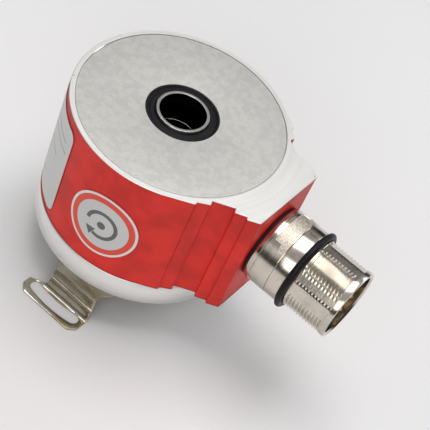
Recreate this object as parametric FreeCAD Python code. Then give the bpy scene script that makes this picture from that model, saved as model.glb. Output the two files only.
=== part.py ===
import FreeCAD, Part
import math
import os

# Hollow-shaft rotary encoder with a stator coupling and a side connector. Millimetres.
# Origin: on the shaft axis, in the mounting plane that the two coupling tabs rest on.
# +Z runs along the shaft towards the closed rear face, +X towards the connector.

V = FreeCAD.Vector
UP = V(0, 0, 1)
ALONG_X = V(1, 0, 0)
ORIGIN = V(0, 0, 0)

# ---- Clearances -------------------------------------------------------------
RUNNING_GAP = 0.05        # radial, between a part that turns and one that doesn't
SEAT_GAP = 0.02           # radial, between pieces fixed to each other
THREAD_GAP = 0.04         # radial, screw in its tapped hole
HOLE_GAP = 0.2            # radial, screw or screw head in a plain hole
RACE_GAP = 0.005          # radial, bearing ring on its seat
AIR_GAP = 0.30            # axial, between moving and fixed faces
PAST = 1.0                # how far a cutter runs past the face it cuts

# ---- Housing ----------------------------------------------------------------
BODY_R = 29.0             # outside of cover and flange
COVER_H = 34.7            # painted wall
WALL_T = 2.7              # cover side wall
TOP_T = 2.5               # cover top plate
RIM_H = 7.55              # bright flange rim
EDGE_CHAMFER = 0.3
RECESS_D = 0.6            # recess for the rear disc
RECESS_RIM_W = 1.45       # rim left round the recess
DISC_GAP = 0.12           # hairline round the rear disc
DISC_SINK = 0.10          # rear disc below the rim
SPIGOT_H = 3.4            # flange spigot inside the cover
SPIGOT_GAP = 0.10
SEAL_GROOVE_W = 1.8       # housing seal
SEAL_GROOVE_D = 1.25
SEAL_GROOVE_RISE = 0.8    # groove above the seam
BOSS_H = 5.25             # flange boss that carries the coupling
BOSS_W = 6.1              # boss beyond the coupling's opening
HUB_WALL = 2.2            # wall round the bearings

# ---- Shaft and bearings -----------------------------------------------------
BORE_R = 6.0              # for a 12 mm motor shaft
SHAFT_WALL = 1.0
SHAFT_STANDOUT = 0.35     # rear end above the rim
SHAFT_FRONT_Z = 0.5       # front end above the mounting plane
SHAFT_CHAMFER = 0.2       # rear end, outside
MOUTH_CHAMFER = 0.15      # rear end, inside
RELIEF_D = 10.35          # wider mouth at the rear end
RELIEF_STEP = 0.15
SEAT_STEP = 0.5           # bearing seat over the shaft
BEARING_T = 4.5           # bearing bore to bearing outside
BEARING_W = 5.0
BALL_R = 1.2
BALL_COUNT = 12
RACE_T = 1.5
BALL_GAP = 0.05
BEARING_SPACING = 5.0     # between the two bearings
COLLAR_STEP = 0.9         # shaft shoulder over the bearing seat
SPACER_GAP = 0.03
CAGE_T = 0.8
CAGE_H = 3.0
RETAINER_H = 0.8          # bearing retaining ring
RETAINER_BITE = 0.5       # ring into its groove
RETAINER_W = 1.6
RETAINER_OPENING = 3.0
HUB_LIP = 0.7             # hub above the retaining ring
CLAMP_WALL = 5.4
CLAMP_H = 5.8
CLAMP_RISE = 0.5          # clamping ring above the shaft's front end
CLAMP_SLIT_W = 1.2
CLAMP_SCREW_WALL = 1.3    # between the shaft and the clamp screw
CLAMP_SCREW_SEAT = 3.9    # screw head's face from the slit's middle
CLAMP_SCREW_L = 10.5
SHAFT_SLOT_W = 1.0
SHAFT_SLOT_L = 7.5
SHAFT_SLOT_ANGLES = (45, 135)
FRONT_SEAL_T = 4.0        # shaft to seal outside
FRONT_SEAL_H = 3.6
FRONT_SEAL_SINK = 0.6
FRONT_SEAL_LIP = 1.6      # ring of rubber at the lip
SEAL_ROOM = 1.2           # seal top to its shelf
SHELF_H = 1.7             # shelf between seal and bearing
SHELF_BITE = 0.6          # shelf opening beyond the bearing's middle
REAR_SEAL_T = 2.7
REAR_SEAL_H = 2.4
REAR_SEAL_SINK = 0.45
REAR_SEAL_BEAD = 0.5      # raised bead at the seal's outside
REAR_SEAL_BEAD_H = 0.25
REAR_SEAL_GROOVE = 0.2    # depth and side slope of the moulded groove
REAR_SEAL_GROOVE_W = 0.4

# ---- Code disc and scanner --------------------------------------------------
DISC_T = 0.8
DISC_HOLE_GAP = 0.4
DISC_EDGE_W = 1.8         # disc beyond the light's track
DISC_HUB_T = 4.0          # shaft to hub outside
DISC_HUB_FOOT = 1.0       # hub's foot over the bearing seat
DISC_HUB_H = 3.5
DISC_RETAINER_T = 3.4
DISC_RETAINER_H = 1.5
LIGHT_W = 3.2
LIGHT_L = 5.0
LIGHT_AIR = 0.6           # light source to bearing hub
LIGHT_DROP = 2.0          # light source below the disc
LENS_R = 1.2
LENS_SEAT = 1.2
SCAN_GAP = 0.8            # disc to scanning mask
MASK_T = 0.8
MASK_L = 6.0
MASK_W = 3.0
CHIP_T = 1.3
CHIP_L = 8.0
CHIP_W = 4.8

# ---- Circuit boards ---------------------------------------------------------
BOARD_AIR = 1.3           # board edge to cover wall
BOARD_T = 1.6
BOARD_HOLE_AIR = 2.0      # board hole to shaft
BOARD_PITCH = 7.3         # between the two boards
POST_R = 2.0
POST_EDGE = 3.0           # post centre from the board's edge
POST_BITE = 4.5           # thread in the flange and in the post
POST_BORE_D = 6.0
POST_ANGLES = (30, 150, 270)
BOARD_SCREW_R = 1.2
BOARD_SCREW_GAP = 0.1
BOARD_HEAD_R = 2.2
BOARD_HEAD_H = 1.6
BOARD_HEAD_SLOT_W = 0.6
BOARD_HEAD_SLOT_D = 0.7
PROCESSOR_L = 9.0
PROCESSOR_W = 8.4
PROCESSOR_H = 1.2
HEADER_L = 13.0
HEADER_W = 3.0
HEADER_AIR = 3.5          # header from the board's hole
SOCKET_AIR = 7.0          # socket from the board's hole
SOCKET_L = 10.0
SOCKET_W = 4.0
SOCKET_H = 2.4
RIBBON_T = 0.6
RIBBON_W = 8.0
RIBBON_BEND = 0.7         # ribbon turns down this far past the wall's inside
RIBBON_RUN = 6.5          # length of the sloping stretch

# ---- Housing and coupling screws --------------------------------------------
LUG_R = 3.2
LUG_AIR = 0.5             # lug to cover wall, bridged by its web
LUG_ANGLES = (90, 210, 330)
M3_R = 1.5
M3_HEAD_R = 2.75
M3_HEAD_H = 3.0
M3_SOCKET_R = 1.25
M3_SOCKET_D = 1.4
HOUSING_SCREW_BITE = 7.0
TAP_ROOM = 1.5            # tapped hole beyond the screw
COUPLING_SCREW_EDGE = 2.9 # coupling screw from the ring's opening
COUPLING_SCREW_ANGLES = (0, 180)
M25_R = 1.25
M25_HEAD_R = 2.25
M25_HEAD_H = 1.7
M25_SOCKET_R = 0.75
M25_SOCKET_D = 0.9
COUPLING_SCREW_BITE = 5.0
COUPLING_HOLE_GAP = 0.15
HEAD_OVERLAP = 0.5        # shank runs this far into its head

# ---- Stator coupling --------------------------------------------------------
SHEET_T = 0.5
RING_TOP_Z = 8.0
RING_INSET = 5.0          # ring edge inside the body's outline
CLAMP_AIR = 1.0           # ring opening to clamping ring
BEND_INSET = 1.9          # first bend inside the body's outline
BEND_LEAN = 0.15          # how far the wall leans out over its height
JOG_OUT = 0.7             # second bend further out
JOG_DROP = 4.1            # second bend below the first
FOOT_OUT = 0.45           # start of the tab's bend beyond the jog
TAB_BEND_R = 1.3
TAB_EDGE = 3.0            # tab edge beyond the slot circle
TAB_HALF_W = 9.8
TAB_CORNER = 1.8
NECK_LEFT_X = -4.8
NECK_RIGHT_X = 9.5
SHOULDER_OUT = 1.3        # tab shoulder beyond the first bend
NECK_FLARE_R = 4.0
SLOT_STANDOFF = 2.5       # slot circle beyond the body: 63 mm across
SLOT_W = 3.4
SLOT_HALF_ANGLE = 12.2

# ---- Connector --------------------------------------------------------------
CONN_DROP = 16.0          # connector axis below the rear rim
FLAT_PROUD = 0.8          # corner of the flat that leaves the round body, beyond its radius
FLAT_CORNER_AZ = 44.4     # azimuth of that corner
# One side of the stepped block: beyond the round body, and out from its middle.
BLOCK_CORNERS = ((-7.8, 19.9), (-5.2, 17.9), (-5.8, 16.55), (-0.7, 13.5), (-0.1, 14.8),
                 (2.8, 13.3), (3.2, 14.1), (6.3, 12.3))
GASKET_T = 0.8
GASKET_INSET = 0.4        # gasket inside the collar's outline
THREAD_R = 10.0           # M20 x 1
THREAD_PITCH = 1.0
THREAD_DEPTH = 0.55
THREAD_TURNS = 11
THREAD_RUN_IN = 0.5
THREAD_RUN_OUT = 0.6
COLLAR_PROUD = 0.8        # collar over the thread
COLLAR_L = 6.6
COLLAR_SPIGOT_L = 6.0
COLLAR_LINE = 1.45        # turned line from the collar's shoulder
COLLAR_LINE_D = 0.2
PATCH_DEPTH = 0.22
# Shallow patches on the collar: start and end from its shoulder, half angle.
PATCHES = ((2.4, 4.5, 36), (4.4, 6.3, 46))
SMOOTH_L = 3.7
SMOOTH_PROUD = 0.75       # smooth ring over the thread
NOTCH_R = 0.45
NOTCH_ANGLE = 72
CONN_RING_SECTION_R = 0.88
CONN_GROOVE_W = 1.9
CONN_GROOVE_D = 0.9
PLAIN_END_L = 1.5
MOUTH_WALL = 0.65
BARREL_WALL = 1.1
MOUTH_LEAD = 0.45
FLAT_SINK = 0.6           # long flats below the thread's crests
FLAT_RIDGES = (67, 157, 247, 337)   # ridge between each pair of flats, from +Y towards +Z
FLAT_LEAN = 11.0          # angle of a flat from its ridge
STEP_W = 1.4              # insert seat inside the barrel
SPIGOT_WALL = 1.15        # collar spigot
SLEEVE_L = 4.5            # barrel's sleeve inside the collar
SLEEVE_WALL = 1.1
INSERT_L = 8.0
INSERT_STEP_X = 1.3       # insert starts behind the smooth ring's face
KEY_L = 5.0
KEY_HALF_W = 1.0
KEY_SINK = 1.7            # key's foot inside the bore
PIN_R = 0.5
PIN_COUNT = 8
PIN_PCD_R = 5.6
CENTRE_PIN_R = 1.0
PIN_SINK = 1.3            # signal pin tips below the mouth
CENTRE_PIN_SINK = 2.2     # centre pin tip below the mouth
PIN_TAIL = 3.0
INSERT_RING_T = 0.8
INSERT_RING_W = 1.28
INSERT_RING_GAP = 1.4     # half the ring's opening

# ---- Labels -----------------------------------------------------------------
FOIL_T = 0.12
FOIL_GAP = 0.01
RATING_START = -114.5     # azimuth of the edge nearer the sticker
RATING_SPAN = 86.0
RATING_RISE = 2.3         # above the seam
RATING_H = 29.0
RATING_CORNER = 2.4
STICKER_AZIMUTH = -82.2
STICKER_R = 10.0
STICKER_DROP = 19.7       # centre below the rear rim

# ---- Worked out from the above ----------------------------------------------
RIM_Z = RING_TOP_Z + BOSS_H
SEAM_Z = RIM_Z + RIM_H
REAR_Z = SEAM_Z + COVER_H
COVER_IN_R = BODY_R - WALL_T
CEILING_Z = REAR_Z - TOP_T
RECESS_R = BODY_R - RECESS_RIM_W
SPIGOT_R = COVER_IN_R - SPIGOT_GAP
DECK_Z = SEAM_Z + SPIGOT_H
SEAL_FLOOR_R = SPIGOT_R - SEAL_GROOVE_D
SEAL_GROOVE_Z = SEAM_Z + SEAL_GROOVE_RISE
SHAFT_R = BORE_R + SHAFT_WALL
SEAT_R = SHAFT_R + SEAT_STEP
COLLAR_R = SEAT_R + COLLAR_STEP
BEARING_OUT_R = SEAT_R + BEARING_T
BEARING_PITCH_R = SEAT_R + BEARING_T / 2
CLAMP_R = SHAFT_R + CLAMP_WALL
FRONT_SEAL_R = SHAFT_R + FRONT_SEAL_T
REAR_SEAL_R = SHAFT_R + REAR_SEAL_T
SEAL_SHELF_Z = RING_TOP_Z + FRONT_SEAL_H + SEAL_ROOM
FRONT_BEARING_Z = SEAL_SHELF_Z + SHELF_H
SHELF_R = BEARING_PITCH_R + SHELF_BITE
SPACER_Z = FRONT_BEARING_Z + BEARING_W
REAR_BEARING_Z = SPACER_Z + BEARING_SPACING
RETAINER_Z = REAR_BEARING_Z + BEARING_W
RETAINER_TOP_Z = RETAINER_Z + RETAINER_H
HUB_TOP_Z = RETAINER_TOP_Z + HUB_LIP
HUB_R = BEARING_OUT_R + HUB_WALL
TRACK_R = HUB_R + LIGHT_AIR + LIGHT_W / 2
DISC_R = TRACK_R + DISC_EDGE_W
DISC_HUB_R = SHAFT_R + DISC_HUB_T
DISC_RETAINER_R = SHAFT_R + DISC_RETAINER_T
DISC_HUB_Z = HUB_TOP_Z + 2 * AIR_GAP
DISC_Z = DISC_HUB_Z + DISC_HUB_H - 2 * AIR_GAP
LIGHT_TOP_Z = DISC_Z - LIGHT_DROP
SENSOR_BOARD_Z = DISC_Z + DISC_T + SCAN_GAP + MASK_T + CHIP_T
INTERFACE_BOARD_Z = SENSOR_BOARD_Z + BOARD_PITCH
BOARD_R = COVER_IN_R - BOARD_AIR
BOARD_HOLE_R = SHAFT_R + BOARD_HOLE_AIR
POST_PCD_R = BOARD_R - POST_EDGE
LUG_PCD_R = COVER_IN_R - LUG_R - LUG_AIR
SOCKET_X = BOARD_HOLE_R + SOCKET_AIR
SHAFT_REAR_Z = REAR_Z + SHAFT_STANDOUT
CLAMP_Z = SHAFT_FRONT_Z + CLAMP_RISE
RING_IN_R = CLAMP_R + CLAMP_AIR
RING_OUT_R = BODY_R - RING_INSET
BOSS_R = RING_IN_R + BOSS_W
COUPLING_SCREW_PCD_R = RING_IN_R + COUPLING_SCREW_EDGE
BEND_Y = BODY_R - BEND_INSET
SHOULDER_Y = BEND_Y + SHOULDER_OUT
SLOT_PCD_R = BODY_R + SLOT_STANDOFF
TAB_OUT_Y = SLOT_PCD_R + TAB_EDGE
CONN_Z = REAR_Z - CONN_DROP
BLOCK_STEPS = [(BODY_R + x, y) for x, y in BLOCK_CORNERS]
BLOCK_END_X = BLOCK_STEPS[-1][0]
COLLAR_OUT_R = THREAD_R + COLLAR_PROUD
SMOOTH_R = THREAD_R + SMOOTH_PROUD
GASKET_R = COLLAR_OUT_R - GASKET_INSET
MOUTH_R = THREAD_R - MOUTH_WALL
CONN_BORE_R = THREAD_R - BARREL_WALL
FLAT_DISTANCE = THREAD_R - FLAT_SINK
COLLAR_BORE_R = CONN_BORE_R - STEP_W
BLOCK_BORE_R = COLLAR_BORE_R + SPIGOT_WALL
COLLAR_X = BLOCK_END_X + GASKET_T
BARREL_X = COLLAR_X + COLLAR_L
GROOVE_X = BARREL_X + SMOOTH_L
THREAD_X = GROOVE_X + CONN_GROOVE_W
THREAD_END_X = THREAD_X + THREAD_PITCH * THREAD_TURNS + THREAD_RUN_OUT
CONN_END_X = THREAD_END_X + PLAIN_END_L
GROOVE_FLOOR_R = SMOOTH_R - CONN_GROOVE_D
INSERT_X = BARREL_X + INSERT_STEP_X
INSERT_END_X = INSERT_X + INSERT_L
INSERT_R = CONN_BORE_R - SEAT_GAP


def cylinder(radius, low, high, x=0.0, y=0.0):
    return Part.makeCylinder(radius, high - low, V(x, y, low), UP)


def tube(outer, inner, low, high, x=0.0, y=0.0):
    return cylinder(outer, low, high, x, y).cut(cylinder(inner, low - PAST, high + PAST, x, y))


def box(x0, x1, y0, y1, z0, z1):
    return Part.makeBox(x1 - x0, y1 - y0, z1 - z0, V(x0, y0, z0))


def closed_wire(points):
    return Part.makePolygon(list(points) + [points[0]])


def prism(outline, low, high):
    """Solid over an outline of (x, y) points between two heights."""
    face = Part.Face(closed_wire([V(x, y, low) for x, y in outline]))
    return face.extrude(V(0, 0, high - low))


def turned(profile):
    """Solid of revolution about the shaft axis from (radius, height) points."""
    face = Part.Face(closed_wire([V(r, 0, z) for r, z in profile]))
    return face.revolve(ORIGIN, UP, 360)


def turned_x(profile):
    """Solid of revolution about the connector axis from (along, radius) points."""
    face = Part.Face(closed_wire([V(x, 0, CONN_Z + r) for x, r in profile]))
    return face.revolve(V(0, 0, CONN_Z), ALONG_X, 360)


def bar_x(radius, low, high, y=0.0, z=0.0):
    """Cylinder along X, placed from the connector axis."""
    return Part.makeCylinder(radius, high - low, V(low, y, CONN_Z + z), ALONG_X)


def turn(shape, degrees):
    copy = shape.copy()
    copy.rotate(ORIGIN, UP, degrees)
    return copy


def on_circle(radius, degrees):
    angle = math.radians(degrees)
    return radius * math.cos(angle), radius * math.sin(angle)


def joined(shapes):
    result = shapes[0]
    for shape in shapes[1:]:
        result = result.fuse(shape)
    return result.removeSplitter()


def without(shape, cutters):
    for cutter in cutters:
        shape = shape.cut(cutter)
    return shape


def group(shapes):
    solids = []
    for shape in shapes:
        solids.extend(shape.Solids)
    return Part.makeCompound(solids)


# ---- Housing ----------------------------------------------------------------
def connector_block():
    """Stepped block, with a flat on each side that leaves the round body at a tangent."""
    corner = on_circle(BODY_R + FLAT_PROUD, FLAT_CORNER_AZ)
    tangent_az = FLAT_CORNER_AZ + math.degrees(math.acos(BODY_R / (BODY_R + FLAT_PROUD)))
    tangent = on_circle(BODY_R, tangent_az)
    one_side = [(0, tangent[1]), tangent, corner] + BLOCK_STEPS
    other_side = [(x, -y) for x, y in reversed(one_side)]
    return prism(one_side + other_side, SEAM_Z, REAR_Z)


def lug(degrees):
    """Post inside the cover that takes a housing screw."""
    low = DECK_Z + AIR_GAP
    high = (CEILING_Z + REAR_Z - RECESS_D) / 2
    post = cylinder(LUG_R, low, high, LUG_PCD_R, 0)
    web = box(LUG_PCD_R, COVER_IN_R + LUG_AIR, -LUG_R, LUG_R, low, high)
    return turn(post.fuse(web), degrees)


def screw_places(radius, angles):
    return [on_circle(radius, degrees) for degrees in angles]


def housing_cover():
    body = joined([cylinder(BODY_R, SEAM_Z, REAR_Z), connector_block()])
    body = body.cut(cylinder(COVER_IN_R, SEAM_Z - PAST, CEILING_Z))
    body = body.cut(bar_x(BLOCK_BORE_R, 0, BLOCK_END_X + PAST))
    body = joined([body] + [lug(degrees) for degrees in LUG_ANGLES])
    holes = [cylinder(RECESS_R, REAR_Z - RECESS_D, REAR_Z + PAST)]
    holes.append(cylinder(REAR_SEAL_R + SEAT_GAP, CEILING_Z - PAST, REAR_Z))
    tapped_to = DECK_Z + HOUSING_SCREW_BITE + TAP_ROOM
    for x, y in screw_places(LUG_PCD_R, LUG_ANGLES):
        holes.append(cylinder(M3_R + THREAD_GAP, DECK_Z, tapped_to, x, y))
    return without(body, holes)


def base_flange():
    groove_low = SEAL_GROOVE_Z
    groove_high = SEAL_GROOVE_Z + SEAL_GROOVE_W
    groove_r = SEAL_FLOOR_R
    seat_r = BEARING_OUT_R + SEAT_GAP
    ring_groove_r = BEARING_OUT_R + RETAINER_BITE + SPIGOT_GAP
    body = turned([
        (FRONT_SEAL_R + SEAT_GAP, RING_TOP_Z), (BOSS_R, RING_TOP_Z), (BOSS_R, RIM_Z),
        (BODY_R - EDGE_CHAMFER, RIM_Z), (BODY_R, RIM_Z + EDGE_CHAMFER),
        (BODY_R, SEAM_Z - EDGE_CHAMFER), (BODY_R - EDGE_CHAMFER, SEAM_Z), (SPIGOT_R, SEAM_Z),
        (SPIGOT_R, groove_low), (groove_r, groove_low), (groove_r, groove_high),
        (SPIGOT_R, groove_high), (SPIGOT_R, DECK_Z), (HUB_R, DECK_Z), (HUB_R, HUB_TOP_Z),
        (seat_r, HUB_TOP_Z), (seat_r, RETAINER_TOP_Z), (ring_groove_r, RETAINER_TOP_Z),
        (ring_groove_r, RETAINER_Z), (seat_r, RETAINER_Z), (seat_r, FRONT_BEARING_Z),
        (SHELF_R, FRONT_BEARING_Z), (SHELF_R, SEAL_SHELF_Z), (FRONT_SEAL_R + SEAT_GAP, SEAL_SHELF_Z)])
    holes = []
    head_top = RIM_Z + HOLE_GAP + M3_HEAD_H
    for x, y in screw_places(LUG_PCD_R, LUG_ANGLES):
        holes.append(cylinder(M3_R + HOLE_GAP, RIM_Z - PAST, DECK_Z + PAST, x, y))
        holes.append(cylinder(M3_HEAD_R + HOLE_GAP, RIM_Z - PAST, head_top, x, y))
    tapped_to = RING_TOP_Z + COUPLING_SCREW_BITE + TAP_ROOM
    for x, y in screw_places(COUPLING_SCREW_PCD_R, COUPLING_SCREW_ANGLES):
        holes.append(cylinder(M25_R + THREAD_GAP, RING_TOP_Z - PAST, tapped_to, x, y))
    stud_floor = DECK_Z - POST_BITE - AIR_GAP
    for x, y in screw_places(POST_PCD_R, POST_ANGLES):
        holes.append(cylinder(BOARD_SCREW_R + THREAD_GAP, stud_floor, DECK_Z + PAST, x, y))
    return without(body, holes)


def back_disc():
    outer = RECESS_R - DISC_GAP
    low = REAR_Z - RECESS_D
    return tube(outer, REAR_SEAL_R + SEAT_GAP, low, REAR_Z - DISC_SINK)


def housing_o_ring():
    room = COVER_IN_R - SEAL_FLOOR_R
    middle = V(0, 0, SEAL_GROOVE_Z + SEAL_GROOVE_W / 2)
    return Part.makeTorus(SEAL_FLOOR_R + room / 2, room / 2 - SEAT_GAP, middle, UP)


def housing_screw(x, y):
    low = RIM_Z + HOLE_GAP
    top = low + M3_HEAD_H
    head = cylinder(M3_HEAD_R, low, top, x, y)
    shank = cylinder(M3_R, top - HEAD_OVERLAP, DECK_Z + AIR_GAP + HOUSING_SCREW_BITE, x, y)
    socket = hexagon(M3_SOCKET_R, low - PAST, low + M3_SOCKET_D, x, y)
    return joined([head, shank]).cut(socket)


def hexagon(inner_r, low, high, x=0.0, y=0.0):
    corner = inner_r / math.cos(math.radians(30))
    points = [on_circle(corner, 60 * i) for i in range(6)]
    return prism([(x + px, y + py) for px, py in points], low, high)


def rear_shaft_seal():
    top = REAR_Z - REAR_SEAL_SINK
    low = top - REAR_SEAL_H
    inner = SHAFT_R + RUNNING_GAP
    bead_top = top + REAR_SEAL_BEAD_H
    floor = top - REAR_SEAL_GROOVE
    bead_r = REAR_SEAL_R - REAR_SEAL_BEAD
    groove_r = bead_r - REAR_SEAL_GROOVE
    far_r = groove_r - REAR_SEAL_GROOVE_W
    return turned([
        (inner, low), (REAR_SEAL_R, low), (REAR_SEAL_R, bead_top), (bead_r, bead_top),
        (groove_r, floor), (far_r, floor), (far_r - REAR_SEAL_GROOVE, top),
        (inner + REAR_SEAL_BEAD_H, top), (inner, top - REAR_SEAL_BEAD_H)])


def front_shaft_seal():
    low = RING_TOP_Z + FRONT_SEAL_SINK
    high = low + FRONT_SEAL_H
    inner = SHAFT_R + RUNNING_GAP
    web_r = inner + FRONT_SEAL_LIP
    skin = FRONT_SEAL_LIP / 4
    lip_z = low + 0.4 * FRONT_SEAL_H
    lip_top = lip_z + 2 * skin
    return turned([
        (web_r, low), (FRONT_SEAL_R, low), (FRONT_SEAL_R, high), (web_r + skin, high),
        (web_r + skin, low + 2.5 * skin), (inner + skin, lip_top), (inner, lip_top), (inner, lip_z)])


# ---- Shaft and bearings -----------------------------------------------------
def hollow_shaft():
    end = EDGE_CHAMFER
    relief_z = SHAFT_REAR_Z - RELIEF_D
    relief_r = BORE_R + RELIEF_STEP
    body = turned([
        (BORE_R, SHAFT_FRONT_Z), (SHAFT_R - end, SHAFT_FRONT_Z), (SHAFT_R, SHAFT_FRONT_Z + end),
        (SHAFT_R, FRONT_BEARING_Z), (SEAT_R, FRONT_BEARING_Z), (SEAT_R, SPACER_Z),
        (COLLAR_R, SPACER_Z), (COLLAR_R, REAR_BEARING_Z), (SEAT_R, REAR_BEARING_Z),
        (SEAT_R, HUB_TOP_Z), (SHAFT_R, HUB_TOP_Z), (SHAFT_R, SHAFT_REAR_Z - SHAFT_CHAMFER),
        (SHAFT_R - SHAFT_CHAMFER, SHAFT_REAR_Z), (relief_r + MOUTH_CHAMFER, SHAFT_REAR_Z),
        (relief_r, SHAFT_REAR_Z - MOUTH_CHAMFER), (relief_r, relief_z), (BORE_R, relief_z)])
    half = SHAFT_SLOT_W / 2
    reach = SHAFT_R + PAST
    slot = box(-reach, reach, -half, half, SHAFT_FRONT_Z - PAST, SHAFT_FRONT_Z + SHAFT_SLOT_L)
    return without(body, [turn(slot, degrees) for degrees in SHAFT_SLOT_ANGLES])


def inner_race(low):
    middle = low + BEARING_W / 2
    ring = tube(SEAT_R + RACE_T, SEAT_R + RACE_GAP, low, low + BEARING_W)
    groove = Part.makeTorus(BEARING_PITCH_R, BALL_R + BALL_GAP, V(0, 0, middle), UP)
    return ring.cut(groove)


def outer_race(low):
    middle = low + BEARING_W / 2
    ring = tube(BEARING_OUT_R, BEARING_OUT_R - RACE_T, low, low + BEARING_W)
    groove = Part.makeTorus(BEARING_PITCH_R, BALL_R + BALL_GAP, V(0, 0, middle), UP)
    return ring.cut(groove)


def ball_places():
    return [on_circle(BEARING_PITCH_R, 360.0 * i / BALL_COUNT) for i in range(BALL_COUNT)]


def balls(low):
    middle = low + BEARING_W / 2
    return group([Part.makeSphere(BALL_R, V(x, y, middle)) for x, y in ball_places()])


def cage(low):
    middle = low + BEARING_W / 2
    ring = tube(BEARING_PITCH_R + CAGE_T / 2, BEARING_PITCH_R - CAGE_T / 2,
                middle - CAGE_H / 2, middle + CAGE_H / 2)
    pocket_r = BALL_R + 2 * BALL_GAP
    start = 1 - 2 * CAGE_T / BEARING_PITCH_R
    pockets = [Part.makeCylinder(pocket_r, 4 * CAGE_T, V(start * x, start * y, middle), V(x, y, 0))
               for x, y in ball_places()]
    return without(ring, pockets)


def bearing_spacer():
    return tube(BEARING_OUT_R - SPACER_GAP, BEARING_OUT_R - RACE_T, SPACER_Z, REAR_BEARING_Z)


def bearing_retaining_ring():
    outer = BEARING_OUT_R + RETAINER_BITE
    half = RETAINER_OPENING / 2
    ring = tube(outer, outer - RETAINER_W, RETAINER_Z, RETAINER_TOP_Z)
    gap = box(0, outer + PAST, -half, half, RETAINER_Z - PAST, RETAINER_TOP_Z + PAST)
    return ring.cut(turn(gap, 90))


def clamping_ring():
    high = CLAMP_Z + CLAMP_H
    half = CLAMP_SLIT_W / 2
    ring = tube(CLAMP_R, SHAFT_R + SEAT_GAP, CLAMP_Z, high)
    slit = box(0, CLAMP_R + PAST, -half, half, CLAMP_Z - PAST, high + PAST)
    hole = clamp_bar(M25_R + THREAD_GAP, -CLAMP_R, CLAMP_R)
    seat = clamp_bar(M25_HEAD_R + COUPLING_HOLE_GAP, -CLAMP_R - PAST, -CLAMP_SCREW_SEAT)
    return without(ring, [slit, hole, seat])


def clamp_bar(radius, low, high):
    """Cylinder along Y on the clamp screw's axis."""
    place = V(SHAFT_R + M25_R + CLAMP_SCREW_WALL, low, CLAMP_Z + CLAMP_H / 2)
    return Part.makeCylinder(radius, high - low, place, V(0, 1, 0))


def clamp_screw():
    face = -CLAMP_SCREW_SEAT
    head = clamp_bar(M25_HEAD_R, face - M25_HEAD_H, face)
    shank = clamp_bar(M25_R, face - HEAD_OVERLAP, face - HEAD_OVERLAP + CLAMP_SCREW_L)
    return joined([head, shank])


# ---- Code disc and scanner --------------------------------------------------
def disc_hub():
    inner = SHAFT_R + SEAT_GAP
    foot_r = SEAT_R + DISC_HUB_FOOT
    return turned([
        (inner, HUB_TOP_Z), (foot_r, HUB_TOP_Z), (foot_r, DISC_HUB_Z),
        (DISC_HUB_R, DISC_HUB_Z), (DISC_HUB_R, DISC_Z), (inner, DISC_Z)])


def code_disc():
    return tube(DISC_R, SHAFT_R + DISC_HOLE_GAP, DISC_Z, DISC_Z + DISC_T)


def disc_retainer():
    low = DISC_Z + DISC_T
    return tube(DISC_RETAINER_R, SHAFT_R + SEAT_GAP, low, low + DISC_RETAINER_H)


def plate_on_track(length, width, low, high):
    """Block centred where the light passes the disc."""
    return box(-length / 2, length / 2, TRACK_R - width / 2, TRACK_R + width / 2, low, high)


def light_source():
    body = plate_on_track(LIGHT_L, LIGHT_W, DECK_Z, LIGHT_TOP_Z)
    seat = cylinder(LENS_R + SEAT_GAP, LIGHT_TOP_Z - LENS_SEAT, LIGHT_TOP_Z + PAST, 0, TRACK_R)
    return body.cut(seat)


def light_lens():
    stem = cylinder(LENS_R, LIGHT_TOP_Z - LENS_SEAT, LIGHT_TOP_Z, 0, TRACK_R)
    dome = Part.makeSphere(LENS_R, V(0, TRACK_R, LIGHT_TOP_Z))
    below = cylinder(LENS_R + PAST, LIGHT_TOP_Z - LENS_R - PAST, LIGHT_TOP_Z, 0, TRACK_R)
    return joined([stem, dome.cut(below)])


def scanning_mask():
    low = DISC_Z + DISC_T + SCAN_GAP
    return plate_on_track(MASK_L, MASK_W, low, low + MASK_T)


def sensor_chip():
    return plate_on_track(CHIP_L, CHIP_W, SENSOR_BOARD_Z - CHIP_T, SENSOR_BOARD_Z)


def board(low):
    high = low + BOARD_T
    plate = tube(BOARD_R, BOARD_HOLE_R, low, high)
    holes = []
    for x, y in screw_places(POST_PCD_R, POST_ANGLES):
        holes.append(cylinder(BOARD_SCREW_R + BOARD_SCREW_GAP, low - PAST, high + PAST, x, y))
    reach = LUG_R + LUG_AIR
    notch = cylinder(reach, low - PAST, high + PAST, LUG_PCD_R, 0)
    mouth = box(LUG_PCD_R, BOARD_R + PAST, -reach, reach, low - PAST, high + PAST)
    holes += [turn(notch.fuse(mouth), degrees) for degrees in LUG_ANGLES]
    return without(plate, holes)


def board_posts():
    posts = []
    hole_r = BOARD_SCREW_R + THREAD_GAP
    for x, y in screw_places(POST_PCD_R, POST_ANGLES):
        post = cylinder(POST_R, DECK_Z, SENSOR_BOARD_Z, x, y)
        stud = cylinder(BOARD_SCREW_R, DECK_Z - POST_BITE, DECK_Z + HEAD_OVERLAP, x, y)
        hole = cylinder(hole_r, SENSOR_BOARD_Z - POST_BORE_D, SENSOR_BOARD_Z + PAST, x, y)
        posts.append(joined([post, stud]).cut(hole))
    return group(posts)


def board_spacers():
    inner = BOARD_SCREW_R + BOARD_SCREW_GAP
    low = SENSOR_BOARD_Z + BOARD_T
    return group([tube(POST_R, inner, low, INTERFACE_BOARD_Z, x, y)
                  for x, y in screw_places(POST_PCD_R, POST_ANGLES)])


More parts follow.
